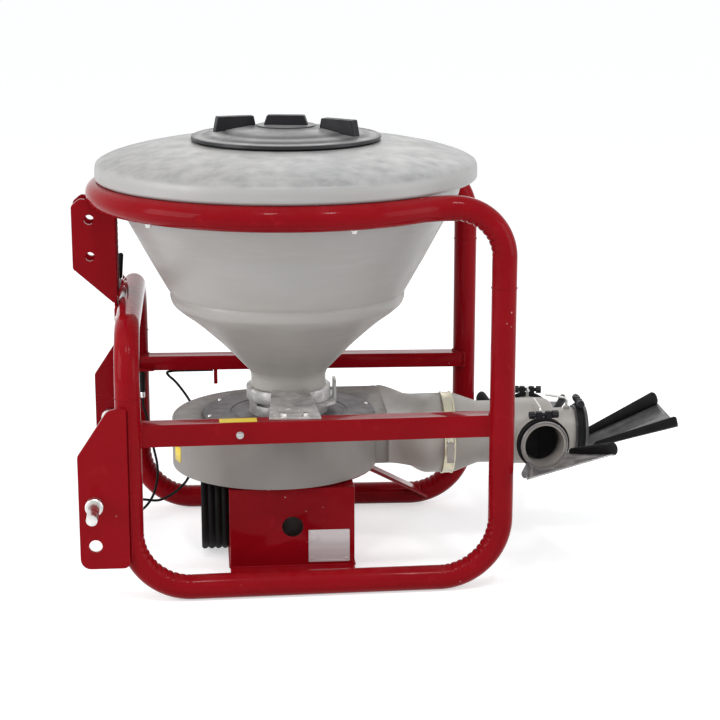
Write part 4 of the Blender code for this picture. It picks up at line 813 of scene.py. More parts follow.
def make_tubes():
    place("hoop_pipe", folded_tube(hoop_stations()), red_enamel, "hoop_tube", sharp=50.0)
    for name, way in SIDES:
        rear, front = way * REAR_HALF_Y, way * FRONT_HALF_Y
        loop = bend_stations([((REAR_X, rear, REAR_WELD_Z), 0), ((REAR_X, rear, TUBE_R), REAR_FOOT_R),
                              ((FRONT_X, front, TUBE_R), FRONT_FOOT_R), ((FRONT_X, front, FRONT_WELD_Z), 0)])
        place(name + "_side_pipe", folded_tube(loop), red_enamel, name + "_side_tube", sharp=50.0)
    arch = bend_stations([((FRONT_X, -FRONT_HALF_Y, FRONT_WELD_Z + GAP), 0),
                          ((FRONT_X, -FRONT_HALF_Y, ARCH_Z), ARCH_BEND_R),
                          ((FRONT_X, FRONT_HALF_Y, ARCH_Z), ARCH_BEND_R),
                          ((FRONT_X, FRONT_HALF_Y, FRONT_WELD_Z + GAP), 0)], folded=False)
    place("arch_pipe", folded_tube(arch, ALONG), red_enamel, "front_arch_tube", sharp=50.0)
    print("tubes swept,", TUBE_SIDES, "sides")


make_tubes()

# %% [markdown]
# ## Cross bars, plates and their welds
#
# The cross bars are box section coped onto the round legs, and the hitch plates are cut from flat steel.
# A weld is a bead of metal with ripples where the torch stopped and started, so it is a thin tube whose
# radius swells and shrinks along its path, sunk halfway into the joint.

# %% Bars and welds
BAR_TOP_Z, BAR_WIDTH, BAR_INSET = 0.3515, 0.036, 0.012
BAR_HEIGHT = {"near": 0.0432, "far": 0.0310}


def bead(points, radius=0.0026, ripple=0.22, side=ACROSS):
    """A weld bead along a broken line of points."""
    points = [Vector(point) for point in points]
    line = [points[0]]
    for start, end in zip(points, points[1:]):
        count = max(1, round((end - start).length / 0.0012))
        line += [start.lerp(end, step / count) for step in range(1, count + 1)]

    def rippled(index, offset):
        swell = ripple * math.sin(index * 1.9) + 0.10 * math.sin(index * 0.61)
        return offset * (swell - (0.5 if index in (0, len(line) - 1) else 0.0))
    return swept(line, radius, 10, side, rippled)


def place_welds(name, beads):
    place(name, merged(*beads), red_enamel, sharp=60.0)


def make_bars():
    for name, way in SIDES:
        high = BAR_HEIGHT[name]
        dress(name + "_crossbar", name + "_bar", red_enamel, 0.0026, segments=3)
        welds = []
        for x, half_y, to_rear in ((FRONT_X, FRONT_HALF_Y, 1), (REAR_X, REAR_HALF_Y, -1)):
            loop = []
            for u, v in ((-1, 1), (-0.33, 1), (0.33, 1), (1, 1), (1, 0), (1, -1), (0.33, -1), (-0.33, -1),
                         (-1, -1), (-1, 0), (-1, 1)):
                y = way * (half_y - BAR_INSET) + u * (BAR_WIDTH / 2 - 0.0005)
                off = y - way * half_y
                if abs(off) > TUBE_R * 0.985:
                    off = math.copysign(TUBE_R * 0.985, off)
                loop.append((x + to_rear * math.sqrt(TUBE_R ** 2 - off ** 2), y,
                             BAR_TOP_Z - high / 2 + v * (high / 2 - 0.0005)))
            welds.append(bead(loop, 0.0024))
        place_welds(name + "_bar_welds", welds)


def make_pipe_joints():
    """A ring of weld where each hoop or arch leg meets its side loop."""
    welds = []
    for way in (-1, 1):
        for x, y, z in ((REAR_X, way * REAR_HALF_Y, REAR_WELD_Z),
                        (FRONT_X, way * FRONT_HALF_Y, FRONT_WELD_Z)):
            ring = [(x + TUBE_R * math.cos(turn), y + TUBE_R * math.sin(turn), z)
                    for turn in arc(0, 360, 60)]
            welds.append(bead(ring, 0.0011, 0.30, UPWARD))
    place_welds("pipe_joint_welds", welds)


make_bars()
make_pipe_joints()

# %% [markdown]
# ## Hitch plates and pins
#
# Each lower plate carries a turned pin with a shoulder for the tractor's lower link, and a spare hole.
# Two ears before the ring take the top link. Cut plate has edges that are only just broken, so the bevel
# is under a millimetre.

# %% Hitch
LINK_PLATE = 0.008
LINK_FRONT_X, LINK_TOP_Z, LINK_FOOT_Z = -0.412, 0.391, 0.078
LINK_PIN_X, LINK_PIN_Z, LINK_PIN_R = -0.3825, 0.2056, 0.011
LINK_HALF_SPAN, LINK_PIN_LENGTH, LINK_COLLAR_R = 0.3415, 0.076, 0.017
LINK_SPARE_HOLE_Z, LINK_SPARE_HOLE_R = 0.1235, 0.0125
LINK_PLATE_Y = FRONT_HALF_Y + TUBE_R + GAP
TOP_PLATE, TOP_HALF_GAP = 0.008, 0.026
TOP_FRONT_X, TOP_BACK_X = -0.427, -0.3415
TOP_HOLE_X, TOP_HOLE_Z, TOP_HOLE_R = -0.3925, 0.702, 0.0097
TOP_LOW_HOLE_Z, TOP_LOW_HOLE_R = 0.628, 0.0092


def make_link_plates():
    back = FRONT_X - 0.002
    outline = eased([(back, LINK_TOP_Z, 0.004), (-0.352, LINK_TOP_Z, 0.022), (LINK_FRONT_X, 0.301, 0.012),
                     (LINK_FRONT_X, LINK_FOOT_Z, 0.020), (back, LINK_FOOT_Z, 0.012)])
    holes = [(LINK_PIN_X, LINK_SPARE_HOLE_Z, LINK_SPARE_HOLE_R), (LINK_PIN_X, LINK_PIN_Z, LINK_PIN_R + GAP)]
    inner, outer, end = LINK_PLATE_Y, LINK_PLATE_Y + LINK_PLATE + GAP, LINK_HALF_SPAN + LINK_PIN_LENGTH
    pin, collar = LINK_PIN_R, LINK_COLLAR_R
    profile = [(0.0, inner - 0.016), (collar - 0.001, inner - 0.016), (collar, inner - 0.015),
               (collar, inner - GAP), (pin, inner - GAP), (pin, outer), (collar, outer),
               (collar, LINK_HALF_SPAN - 0.0015), (collar - 0.0015, LINK_HALF_SPAN), (pin, LINK_HALF_SPAN),
               (pin, end - 0.003), (pin - 0.001, end - 0.001), (pin - 0.003, end), (0.0, end)]
    for name, way in SIDES:
        low = min(way * inner, way * (inner + LINK_PLATE))
        place(name + "_hitch_plate", sheet(outline, LINK_PLATE, upright_xz(low), holes), red_enamel,
              name + "_link_plate", bevel=0.0009)
        place(name + "_hitch_pin", lathe(profile, 64, along_y(LINK_PIN_X, 0.0, LINK_PIN_Z, way), False),
              bright_zinc, name + "_link_pin")
        seam = [(FRONT_X + 0.0015, way * (inner + 0.0006), z)
                for z in (LINK_FOOT_Z + 0.014, LINK_TOP_Z - 0.008)]
        place_welds(name + "_hitch_weld", [bead(seam, 0.0020, 0.05)])


def make_ears():
    clear, rise, touch = TUBE_R + 0.0022, TUBE_R + 0.0012, 0.0005
    hug = [(-RING_R + clear * math.cos(turn), RING_Z + clear * math.sin(turn), 0)
           for turn in arc(268, 206, 12)]
    outline = eased([(TOP_BACK_X, RING_Z - clear, 0), *hug, (-0.410, 0.744, 0.010),
                     (TOP_FRONT_X, 0.730, 0.010), (TOP_FRONT_X, 0.604, 0.008),
                     (TOP_BACK_X - 0.004, 0.531, 0.004), (TOP_BACK_X, 0.545, 0)])
    holes = [(TOP_HOLE_X, TOP_HOLE_Z, TOP_HOLE_R), (TOP_HOLE_X, TOP_LOW_HOLE_Z, TOP_LOW_HOLE_R)]
    for name, low in (("near", -TOP_HALF_GAP - TOP_PLATE), ("far", TOP_HALF_GAP)):
        place(name + "_top_ear", sheet(outline, TOP_PLATE, upright_xz(low), holes), red_enamel,
              name + "_top_link_ear", bevel=0.0009)
    dress("top_link_back_plate", "top_back_plate", red_enamel, 0.0009)
    welds = []
    for way in (-1, 1):
        inner, outer = way * (TOP_HALF_GAP - touch), way * (TOP_HALF_GAP + TOP_PLATE + 2 * touch)
        seam = [(TOP_BACK_X + touch, inner, z) for z in (0.547, 0.724)]
        welds.append(bead(seam, 0.0022, 0.12))
        for y in (inner, outer):
            crown = [(-RING_R + rise * math.cos(turn), y, RING_Z + rise * math.sin(turn))
                     for turn in arc(262, 210, 12)]
            welds.append(bead(crown, 0.0026, 0.20))
    foot = [(FRONT_X - TUBE_R - touch, way * (TOP_HALF_GAP - 0.002), ARCH_Z + 0.001) for way in (-1, 1)]
    welds.append(bead(foot, 0.0020, 0.20, UPWARD))
    place_welds("top_ear_welds", welds)


make_link_plates()
make_ears()

# %% [markdown]
# ## Pedestal and floor plate
#
# The fan stands on a box of folded sheet between the runners. The CAD shapes are right, so a merged copy
# of each only gets the small radius that folded or sheared sheet has. The near wall carries a bare
# rating plate on four rivets.

# %% Base
PEDESTAL_HALF_Y = 0.185
PEDESTAL_FRONT_X, PEDESTAL_REAR_X = -0.127, 0.121
FLOOR_TOP_Z = 0.0230
SCROLL_BOTTOM_Z = 0.1907
PLATE_LOW, PLATE_HIGH = (0.029, 0.031), (0.111, 0.098)


def make_base():
    for node, width in (("pedestal", 0.0022), ("floor_plate", 0.0009), ("fan_base_plate", 0.0009),
                        ("base_strut", 0.0009)):
        dress(node, node + "_sheet", red_enamel, width)
    foot = [(x, way * PEDESTAL_HALF_Y, FLOOR_TOP_Z + 0.0006)
            for x, way in ((PEDESTAL_FRONT_X, -1), (PEDESTAL_REAR_X, -1), (PEDESTAL_REAR_X, 1),
                           (PEDESTAL_FRONT_X, 1), (PEDESTAL_FRONT_X, -1))]
    place_welds("pedestal_weld", [bead(foot, 0.0022, 0.20)])


def make_rating_plate():
    face = -PEDESTAL_HALF_Y - 0.0010
    outline = rounded_box(PLATE_LOW, PLATE_HIGH, 0.002, 4)
    place("rating_plate", sheet(outline, 0.0008, upright_xz(face)), bare_plate, bevel=0.0002)

    def inset(by):
        low, high = [value + by for value in PLATE_LOW], [value - by for value in PLATE_HIGH]
        return [(x, face, z) for x, z in (low, (high[0], low[1]), high, (low[0], high[1]))]
    corners = inset(0.0035)
    rails = [rod(start, end, 0.0005, 8) for start, end in zip(corners, corners[1:] + corners[:1])]
    place("rating_plate_border", merged(*rails), bare_plate)
    dome = [(0.0, 0.0), (0.0021, 0.0), (0.0019, 0.0006), (0.0012, 0.0011), (0.0, 0.0013)]
    rivets = [lathe(dome, 20, along_y(*seat, -1), False) for seat in inset(0.0065)]
    place("rating_plate_rivets", merged(*rivets), bright_zinc)


make_base()
make_rating_plate()

# %% [markdown]
# ## The fan's case
#
# The case is a plastic drum that runs into a straight outlet. Its outline is filled flat, its outer edge
# is drawn down into the wall, and the top edge gets a wide soft radius. A floor with a hole for the
# shaft closes it below, and the walls get their thickness last, inwards.

# %% Fan case
SCROLL_X, SCROLL_R, SCROLL_HEIGHT, SCROLL_WALL = -0.0294, 0.2095, 0.1003, 0.004
SCROLL_TOP_Z = SCROLL_BOTTOM_Z + SCROLL_HEIGHT
OUTLET_X, TONGUE_Y = 0.200, -0.044
ROTOR_R, SHAFT_HOLE_R = 0.150, 0.0125
INLET_PLATE_R, INLET_PLATE_T, INLET_R = 0.176, 0.005, 0.066
INLET_TOP_Z = SCROLL_TOP_Z + GAP + INLET_PLATE_T


def drum_outline():
    start = math.degrees(math.asin(TONGUE_Y / SCROLL_R))
    points = [(SCROLL_X + SCROLL_R * math.cos(turn), SCROLL_R * math.sin(turn))
              for turn in arc(start, -270.0, 110)]
    return points + [(OUTLET_X, SCROLL_R), (OUTLET_X, TONGUE_Y)]


def make_fan_case():
    data = bmesh.new()

    def fill(z, hole):
        edges = []
        for loop in (drum_outline(), hole):
            edges += closed_loop(data, [(u, v, z) for u, v in loop])
        bmesh.ops.triangle_fill(data, use_beauty=True, use_dissolve=False, edges=edges)
        return edges[:len(drum_outline())]
    walls = [edge for edge in fill(SCROLL_TOP_Z, circle(0.0, 0.0, ROTOR_R + 0.004, 96))
             if not all(vert.co.x > OUTLET_X - 1e-6 for vert in edge.verts)]
    grown = bmesh.ops.extrude_edge_only(data, edges=walls)["geom"]
    bmesh.ops.translate(data, verts=verts_of(grown), vec=(0.0, 0.0, -SCROLL_HEIGHT))
    bmesh.ops.bevel(data, geom=walls, offset=0.007, segments=6, profile=0.5, affect="EDGES",
                    clamp_overlap=True, material=-1)
    fill(SCROLL_BOTTOM_Z, circle(0.0, 0.0, SHAFT_HOLE_R, 48))
    bmesh.ops.remove_doubles(data, verts=data.verts, dist=1e-6)
    bmesh.ops.recalc_face_normals(data, faces=data.faces)
    case = place("fan_case", data, shaded_drum_finish, "fan_casing", sharp=40.0)
    give_wall(case, SCROLL_WALL).use_even_offset = True


def make_inlet_plate():
    low, high = SCROLL_TOP_Z + GAP, INLET_TOP_Z
    rim = INLET_PLATE_R
    profile = [(INLET_R, low), (rim, low), (rim, high - 0.002), (rim - 0.0006, high - 0.0006),
               (rim - 0.002, high), (0.120, high), (0.119, high - 0.0012), (0.113, high - 0.0012),
               (0.112, high), (INLET_R, high)]
    place("inlet_cover", lathe(profile, 128), dark_moulding, "inlet_plate")
    head = [(0.0, -0.001), (0.0042, -0.001), (0.0042, 0.0004), (0.0034, 0.0018), (0.0018, 0.0026),
            (0.0, 0.0028)]
    turns = [math.tau * (step + 0.28) / 8 for step in range(8)]
    screws = [lathe(head, 20, at(0.166 * math.cos(turn), 0.166 * math.sin(turn), high), False)
              for turn in turns]
    place("inlet_cover_screws", merged(*screws), bright_zinc)


make_fan_case()
make_inlet_plate()

# %% [markdown]
# ## The outlet duct
#
# Behind the drum the duct turns from a rectangle to a circle. It is drawn through sections: each one is
# extruded from the last, and its points move to the next section, which is a mix of the rectangle and
# the circle. A strap joins it to the cone behind.

# %% Duct
DUCT_Z = SCROLL_BOTTOM_Z + SCROLL_HEIGHT / 2
DUCT_WALL, DUCT_R, DUCT_ROUND_X, DUCT_JOINT_X = 0.004, 0.082, 0.285, 0.325
CONE_START_X, CONE_END_X, PIPE_R, PIPE_END_X = 0.340, 0.390, 0.064, 0.452
DUCT_SIDES = 96


def duct_section(x, share, radius):
    """One section of the duct: a rectangle at share 0, a circle at share 1."""
    half_y, half_z = (SCROLL_R - TONGUE_Y) / 2, SCROLL_HEIGHT / 2
    middle_y = (SCROLL_R + TONGUE_Y) / 2 * (1 - share)
    points = []
    for u, v in circle(0.0, 0.0, 1.0, DUCT_SIDES):
        reach = max(abs(u), abs(v))
        points.append(Vector((x, middle_y + u / reach * half_y * (1 - share) + radius * u * share,
                              DUCT_Z + v / reach * half_z * (1 - share) + radius * v * share)))
    return points


def through_sections(sections):
    """A skin through closed sections with the same number of points."""
    data = bmesh.new()
    edges = closed_loop(data, sections[0])
    for before, section in zip(sections, sections[1:]):
        grown = bmesh.ops.extrude_edge_only(data, edges=edges)["geom"]
        edges = edges_of(grown)
        places = {tuple(round(value, 6) for value in old): new for old, new in zip(before, section)}
        for vert in verts_of(grown):
            vert.co = places[tuple(round(value, 6) for value in vert.co)]
    bmesh.ops.recalc_face_normals(data, faces=data.faces)
    return data


def make_duct():
    start = OUTLET_X + GAP
    sections = []
    for step in range(19):
        part = step / 18
        share = part * part * (3 - 2 * part)
        sections.append(duct_section(start + (DUCT_ROUND_X - start) * part, share, DUCT_R))
    sections.append(duct_section(DUCT_JOINT_X - GAP / 2, 1.0, DUCT_R))
    cone = [(DUCT_JOINT_X + GAP / 2, DUCT_R), (CONE_START_X - 0.003, DUCT_R),
            (CONE_START_X + 0.003, DUCT_R - 0.001), (CONE_END_X - 0.003, PIPE_R + 0.001),
            (CONE_END_X + 0.003, PIPE_R), (PIPE_END_X, PIPE_R)]
    for name, node, rings in (("outlet_duct_shell", "outlet_duct", sections),
                              ("duct_cone_shell", "duct_cone", [duct_section(x, 1.0, r) for x, r in cone])):
        give_wall(place(name, through_sections(rings), grey_moulding, node, sharp=50.0), DUCT_WALL)


make_duct()

# %% [markdown]
# ## Strap and toggle latch
#
# A zinc strap with rolled edges draws the two ducts together. Two wires run down from it to a small
# toggle with a moulded grip, which swings on its hinge.

# %% Strap and latch
STRAP_WIDTH, STRAP_T = 0.023, 0.0028
LATCH_WIDTH, LATCH_LENGTH, LATCH_T = 0.014, 0.041, 0.009


def make_strap():
    half, inner = STRAP_WIDTH / 2, DUCT_R + GAP
    outer = inner + STRAP_T
    profile = [(inner, -half), (outer - 0.0006, -half), (outer, -half + 0.0008), (outer, -half + 0.0034),
               (outer - 0.0014, -half + 0.0046), (outer - 0.0014, half - 0.0046), (outer, half - 0.0034),
               (outer, half - 0.0008), (outer - 0.0006, half), (inner, half)]
    place("strap_band", lathe(profile, 128, along_x(DUCT_JOINT_X, 0.0, DUCT_Z)), yellow_zinc, "strap_clamp")
    rise = outer + 0.0008
    wires = []
    for x in (DUCT_JOINT_X - 0.0042, DUCT_JOINT_X + 0.0042):
        line = [Vector((x, rise * math.cos(turn), DUCT_Z + 0.001 + rise * math.sin(turn)))
                for turn in arc(180, 138, 12)]
        wires.append(swept(line, 0.0011, 12, ALONG))
    place("strap_wires", merged(*wires), bright_zinc, sharp=60.0)


def make_latch():
    face, top, half = -(DUCT_R + GAP + STRAP_T) - GAP, DUCT_Z + 0.001, LATCH_WIDTH / 2
    foot = top - LATCH_LENGTH
    outline = eased([(face, top, 0.001), (face - LATCH_T * 0.45, top, 0.002),
                     (face - LATCH_T, foot + 0.010, 0.003), (face - LATCH_T * 0.85, foot, 0.003),
                     (face - LATCH_T * 0.35, foot, 0.002), (face, foot + 0.012, 0.002)], 4)
    place("latch_grip", sheet(outline, LATCH_WIDTH, upright_yz(DUCT_JOINT_X - half)), grey_moulding,
          "strap_latch", "latch", bevel=0.0014, segments=3)
    ends = [(DUCT_JOINT_X + way * (half + 0.0012), face - LATCH_T * 0.30, top - 0.004) for way in (-1, 1)]
    place("latch_pin", rod(*ends, 0.0016, 20), bright_zinc, body="latch", bevel=0.0003)


make_strap()
make_latch()

# %% [markdown]
# ## The distributor head
#
# The head is one hollow moulding: a domed sleeve over the pipe with a rear port and two side ports. The
# outer shapes are joined and the inner ones taken away with Boolean modifiers, and the result is kept as
# a plain mesh. Each port then gets a small boss for its flap's spindle.

# %% Head
HEAD_X, HEAD_START_X, HEAD_DOME_X, HEAD_DOME, HEAD_WALL = 0.500, 0.430, 0.522, 0.026, 0.004
PORT_REACH, PORT_R, PORT_WALL, SIDE_PORT_LEAN = 0.115, 0.046, 0.005, 6.7
FLAP_OFFSET, FLAP_R, FLAP_T, SPINDLE_R = 0.078, 0.037, 0.002, 0.0025
HANDLE_RISE, HANDLE_ARM = 0.022, 0.044
PORTS = (("near", SIDE_PORT_LEAN - 90.0, 13.0), ("rear", 0.0, 0.0), ("far", 90.0 - SIDE_PORT_LEAN, 0.0))


def port_matrix(turn):
    """Frame of a port: X outward along its axis, Z up, origin at the head's centre."""
    return Matrix.Translation((HEAD_X, 0.0, DUCT_Z)) @ Matrix.Rotation(math.radians(turn), 4, "Z")


def carve(data, *steps):
    """Join shapes to a shape and cut shapes from it, in the order given."""
    def to_object(shape, name):
        bmesh.ops.recalc_face_normals(shape, faces=shape.faces)
        mesh = bpy.data.meshes.new(name)
        shape.to_mesh(mesh)
        shape.free()
        made = bpy.data.objects.new(name, mesh)
        bpy.context.collection.objects.link(made)
        return made
    body = to_object(data, "blank")
    tools = []
    for operation, shape in steps:
        tools.append(to_object(shape, "tool"))
        modifier = body.modifiers.new(operation.lower(), "BOOLEAN")
        modifier.operation = operation
        modifier.solver = "EXACT"
        modifier.object = tools[-1]
    depsgraph = bpy.context.evaluated_depsgraph_get()
    result = bmesh.new()
    result.from_mesh(body.evaluated_get(depsgraph).to_mesh())
    for spent in tools + [body]:
        bpy.data.objects.remove(spent)
    return result


def make_head():
    bore, narrow = PIPE_R + GAP, PORT_R - PORT_WALL
    rim, shoulder, end = bore + HEAD_WALL, HEAD_DOME_X - 0.004, HEAD_DOME_X + HEAD_DOME
    tip = HEAD_X + PORT_REACH
    dome = [(PORT_R + (rim - PORT_R) * math.cos(turn) ** 0.8,
             shoulder + (HEAD_DOME + 0.004) * math.sin(turn))
            for turn in arc(0, 90, 9)[1:9]]
    outer = [(0.0, HEAD_START_X), (rim - 0.001, HEAD_START_X), (rim, HEAD_START_X + 0.001), (rim, shoulder),
             *dome, (PORT_R, end + 0.001), (PORT_R, tip), (0.0, tip)]
    inner = [(0.0, HEAD_START_X - 0.02), (bore, HEAD_START_X - 0.02), (bore, HEAD_DOME_X - 0.002),
             (bore * 0.9, HEAD_DOME_X + HEAD_DOME * 0.4), (narrow, end - 0.006), (narrow, tip + 0.02),
             (0.0, tip + 0.02)]

    def side_pipes(operation, reach, radius, sides):
        return [(operation, rod(port.translation, port @ Vector((reach, 0, 0)), radius, sides))
                for port in [port_matrix(turn) for _, turn, _ in PORTS if turn]]
    to_axis = along_x(0.0, 0.0, DUCT_Z)
    head = carve(lathe(outer, 96, to_axis, False), *side_pipes("UNION", PORT_REACH, PORT_R, 72),
                 ("DIFFERENCE", lathe(inner, 80, to_axis, False)),
                 *side_pipes("DIFFERENCE", PORT_REACH + 0.02, narrow, 64))
    place("head_shell", head, grey_moulding, "distributor_head", sharp=28.0)
    bosses = [rod(port @ Vector((FLAP_OFFSET, 0.0, PORT_R - 0.001)),
                  port @ Vector((FLAP_OFFSET, 0.0, PORT_R + 0.005)), 0.0062, 24)
              for port in [port_matrix(turn) for _, turn, _ in PORTS]]
    place("head_bosses", merged(*bosses), grey_moulding, bevel=0.0008)


make_head()

# %% [markdown]
# ## What each port carries
#
# A flap on a bent wire handle closes the port, a black band clamps the deflector on it, and a screw with
# two fluted knobs draws the band tight. All three ports are alike, so one loop makes them.

# %% Port fittings
SPOUT_T, SPOUT_SLEEVE, SPOUT_RUN, SPOUT_TIP_HALF, SPOUT_LIP = 0.0022, 0.024, 0.178, 0.090, 0.022
SPOUT_TIP_RISE = {"near": 0.007, "rear": 0.028, "far": -0.018}
BAND_WIDTH, BAND_T, BAND_EDGE = 0.016, 0.0045, 0.003
SCREW_R, SCREW_HALF, KNOB_R, KNOB_LENGTH = 0.004, 0.030, 0.008, 0.013
LUG_HEIGHT, LUG_HALF = 0.014, 0.016
SPOUT_SIDES = 56
SPOUT_ARC = 10
TROUGH_STEPS = 26
RUNNING = 0.0006


def fluted_knob(low, high):
    """A knob with eight shallow flutes between two heights on the local Z axis."""
    points = []
    for u, v in circle(0.0, 0.0, KNOB_R, 64):
        swell = 0.94 + 0.06 * math.cos(8 * math.atan2(v, u))
        points.append((u * swell, v * swell))
    return sheet(points, high - low, at(0.0, 0.0, low))


def trough_point(across, along, rise):
    """Place on the trough: across runs -1 to 1 over lip, floor and lip, along 0 to 1 to the tip."""
    outer = PORT_R + RUNNING + SPOUT_T
    spread = math.tau * SPOUT_ARC / SPOUT_SIDES
    angle = across * spread
    start = Vector((PORT_REACH + 0.002, outer * math.sin(angle), -outer * math.cos(angle)))
    size, sign = abs(across), math.copysign(1.0, across)
    tip_x = PORT_REACH + SPOUT_RUN
    if size <= 0.8:
        tip = Vector((tip_x, sign * SPOUT_TIP_HALF * size / 0.8, rise))
    else:
        part = (size - 0.8) / 0.2
        tip = Vector((tip_x - 0.012 * part ** 2, sign * (SPOUT_TIP_HALF + 0.004 * part),
                      rise + SPOUT_LIP * part))
    point = start.lerp(tip, along)
    rib = max(0.0, math.cos(across / 0.8 * math.pi * 2.5)) ** 3 if size < 0.72 else 0.0
    point.z += 0.0022 * rib * math.sin(math.pi * min(1.0, along * 1.15)) ** 0.6
    return point


def make_spout(rise):
    """Sleeve and widening trough as one skin, seen from outside."""
    data = bmesh.new()
    outer = PORT_R + RUNNING + SPOUT_T
    mouth_x = PORT_REACH + 0.002
    turns = [math.tau * index / SPOUT_SIDES for index in range(SPOUT_SIDES)]
    edges = closed_loop(data, [(PORT_REACH - SPOUT_SLEEVE, outer * math.sin(turn), -outer * math.cos(turn))
                               for turn in turns])
    grown = bmesh.ops.extrude_edge_only(data, edges=edges)["geom"]
    bmesh.ops.translate(data, verts=verts_of(grown), vec=(SPOUT_SLEEVE + 0.002, 0.0, 0.0))
    limit = outer * math.cos(math.tau * (SPOUT_ARC - 0.5) / SPOUT_SIDES)

    def low_ones(edges):
        return [edge for edge in edges if -(edge.verts[0].co.z + edge.verts[1].co.z) / 2 > limit
                and all(abs(vert.co.x - mouth_x) < 1e-6 for vert in edge.verts)]
    bmesh.ops.subdivide_edges(data, edges=low_ones(edges_of(grown)), cuts=2, use_grid_fill=False)
    front = low_ones(data.edges)
    spread = math.tau * SPOUT_ARC / SPOUT_SIDES
    shares = {vert: math.atan2(vert.co.y, -vert.co.z) / spread for edge in front for vert in edge.verts}
    for step in range(TROUGH_STEPS + 1):
        if step:
            before = {tuple(round(value, 7) for value in vert.co): share for vert, share in shares.items()}
            grown = bmesh.ops.extrude_edge_only(data, edges=front)["geom"]
            front = edges_of(grown)
            shares = {vert: before[tuple(round(value, 7) for value in vert.co)] for vert in verts_of(grown)}
        for vert, share in shares.items():
            vert.co = trough_point(share, step / TROUGH_STEPS, rise)
    bmesh.ops.recalc_face_normals(data, faces=data.faces)
    return data


# For the two lips of each deflector: radius at the tip, and the share of the trough where it ends
# On the near deflector the front lip is dark grey and the back lip black: painted light and painted shade on
# two lips of one material.
LIPS = {"near": (("front", -1, 0.0062, 1.01, dark_moulding), ("back", 1, 0.0104, 1.01, black_rubber)),
        "rear": (("front", -1, 0.0082, 1.00, black_rubber), ("back", 1, 0.0125, 0.995, black_rubber))}
LIPS["far"] = LIPS["rear"]


def make_lip(rise, way, thick, end, steps=40):
    """The fat rounded edge moulded over one wall of the trough, thicker towards the tip."""
    points = [trough_point(way * 0.90, 0.07 + (end - 0.07) * step / steps, rise)
              for step in range(steps + 1)]

    def swollen(index, offset):
        share = index / steps
        from_start, from_tip = min(share / 0.05, 1.0), min((1 - share) / 0.04, 1.0)
        girth = (0.50 + 0.50 * share) * math.sqrt(max(1 - (1 - from_start) ** 2, 0.02))
        girth *= 0.72 + 0.28 * math.sqrt(1 - (1 - from_tip) ** 2)
        return Vector((offset.x, offset.y, offset.z * 1.35)) * girth - offset
    return swept(points, thick, 24, UPWARD, swollen)


def make_flap(name, port):
    rise = PORT_R + HANDLE_RISE
    path = bend_stations([((FLAP_OFFSET, 0, PORT_R - PORT_WALL), 0), ((FLAP_OFFSET, 0, rise), 0.008),
                          ((FLAP_OFFSET - HANDLE_ARM, 0, rise + 0.008), 0)], False, 8)
    body = name + "_flap"
    stem = rod((FLAP_OFFSET, 0, -FLAP_R + 0.004), (FLAP_OFFSET, 0, PORT_R - PORT_WALL), SPINDLE_R, 16)
    place(name + "_flap_stem", moved(stem, port), black_rubber, body=body, slot="black_plastic")
    wire = swept([station[0] for station in path], SPINDLE_R, 16)
    place(name + "_flap_wire", moved(wire, port), bright_zinc, name + "_port_flap", body, sharp=60.0)
    disc = rod((FLAP_OFFSET - FLAP_T / 2, 0, 0), (FLAP_OFFSET + FLAP_T / 2, 0, 0), FLAP_R, 64)
    place(name + "_flap_disc", moved(disc, port), black_rubber, body=body, slot="black_plastic",
          bevel=0.0004)


def make_deflector(name, turn):
    rise = SPOUT_TIP_RISE[name]
    finish = near_trough_painted_reflection if name == "near" else trough_moulding
    deflector = place(name + "_fishtail", moved(make_spout(rise), turn), finish, name + "_deflector",
                      name + "_spout", sharp=40.0)
    give_wall(deflector, SPOUT_T)
    for side, way, thick, end, finish in LIPS[name]:
        place(name + "_fishtail_" + side + "_lip", moved(make_lip(rise, way, thick, end), turn), finish,
              body=name + "_spout", slot="dark_plastic", sharp=60.0)


def make_clamp(name, port):
    inner = PORT_R + RUNNING + SPOUT_T + RUNNING
    outer = inner + BAND_T
    low = PORT_REACH - SPOUT_SLEEVE + (SPOUT_SLEEVE - BAND_WIDTH) / 2
    hem = [(inner, 0.0), (outer - 0.001, 0.0), (outer, 0.001), (outer, 0.0035), (outer - 0.0012, 0.0045)]
    profile = hem + [(radius, BAND_WIDTH - z) for radius, z in hem[::-1]]
    band = lathe(profile, 96, along_x(low, 0, 0))
    place(name + "_band", moved(band, port), black_rubber, name + "_clamp_band", slot="black_plastic")
    lugs = []
    for way in (-1, 1):
        outline = eased([(way * LUG_HALF, inner + 0.0015, 0), (way * LUG_HALF, outer + LUG_HEIGHT, 0.003),
                         (way * 0.0035, outer + LUG_HEIGHT, 0.003), (way * 0.0035, inner + 0.0015, 0)], 4)
        lugs.append(sheet(outline, BAND_WIDTH - 2 * BAND_EDGE, upright_yz(low + BAND_EDGE)))
    place(name + "_band_lugs", moved(merged(*lugs), port), black_moulding, bevel=0.0010)
    across = along_y(low + BAND_WIDTH / 2, 0, outer + LUG_HEIGHT / 2)
    stem = rod((0, 0, -SCREW_HALF + 0.004), (0, 0, SCREW_HALF - 0.004), SCREW_R, 24)
    knobs = merged(stem, fluted_knob(-SCREW_HALF, -SCREW_HALF + KNOB_LENGTH * 0.8),
                   fluted_knob(SCREW_HALF - KNOB_LENGTH, SCREW_HALF))
    place(name + "_band_screw", moved(knobs, port @ across), black_moulding, name + "_clamp_screw",
          name + "_screw", bevel=0.0009)


for port_name, port_turn, port_roll in PORTS:
    port_frame = port_matrix(port_turn)
    make_flap(port_name, port_frame)
    make_deflector(port_name, port_frame @ turned(port_roll, "X"))
    make_clamp(port_name, port_frame)
print("three ports fitted")

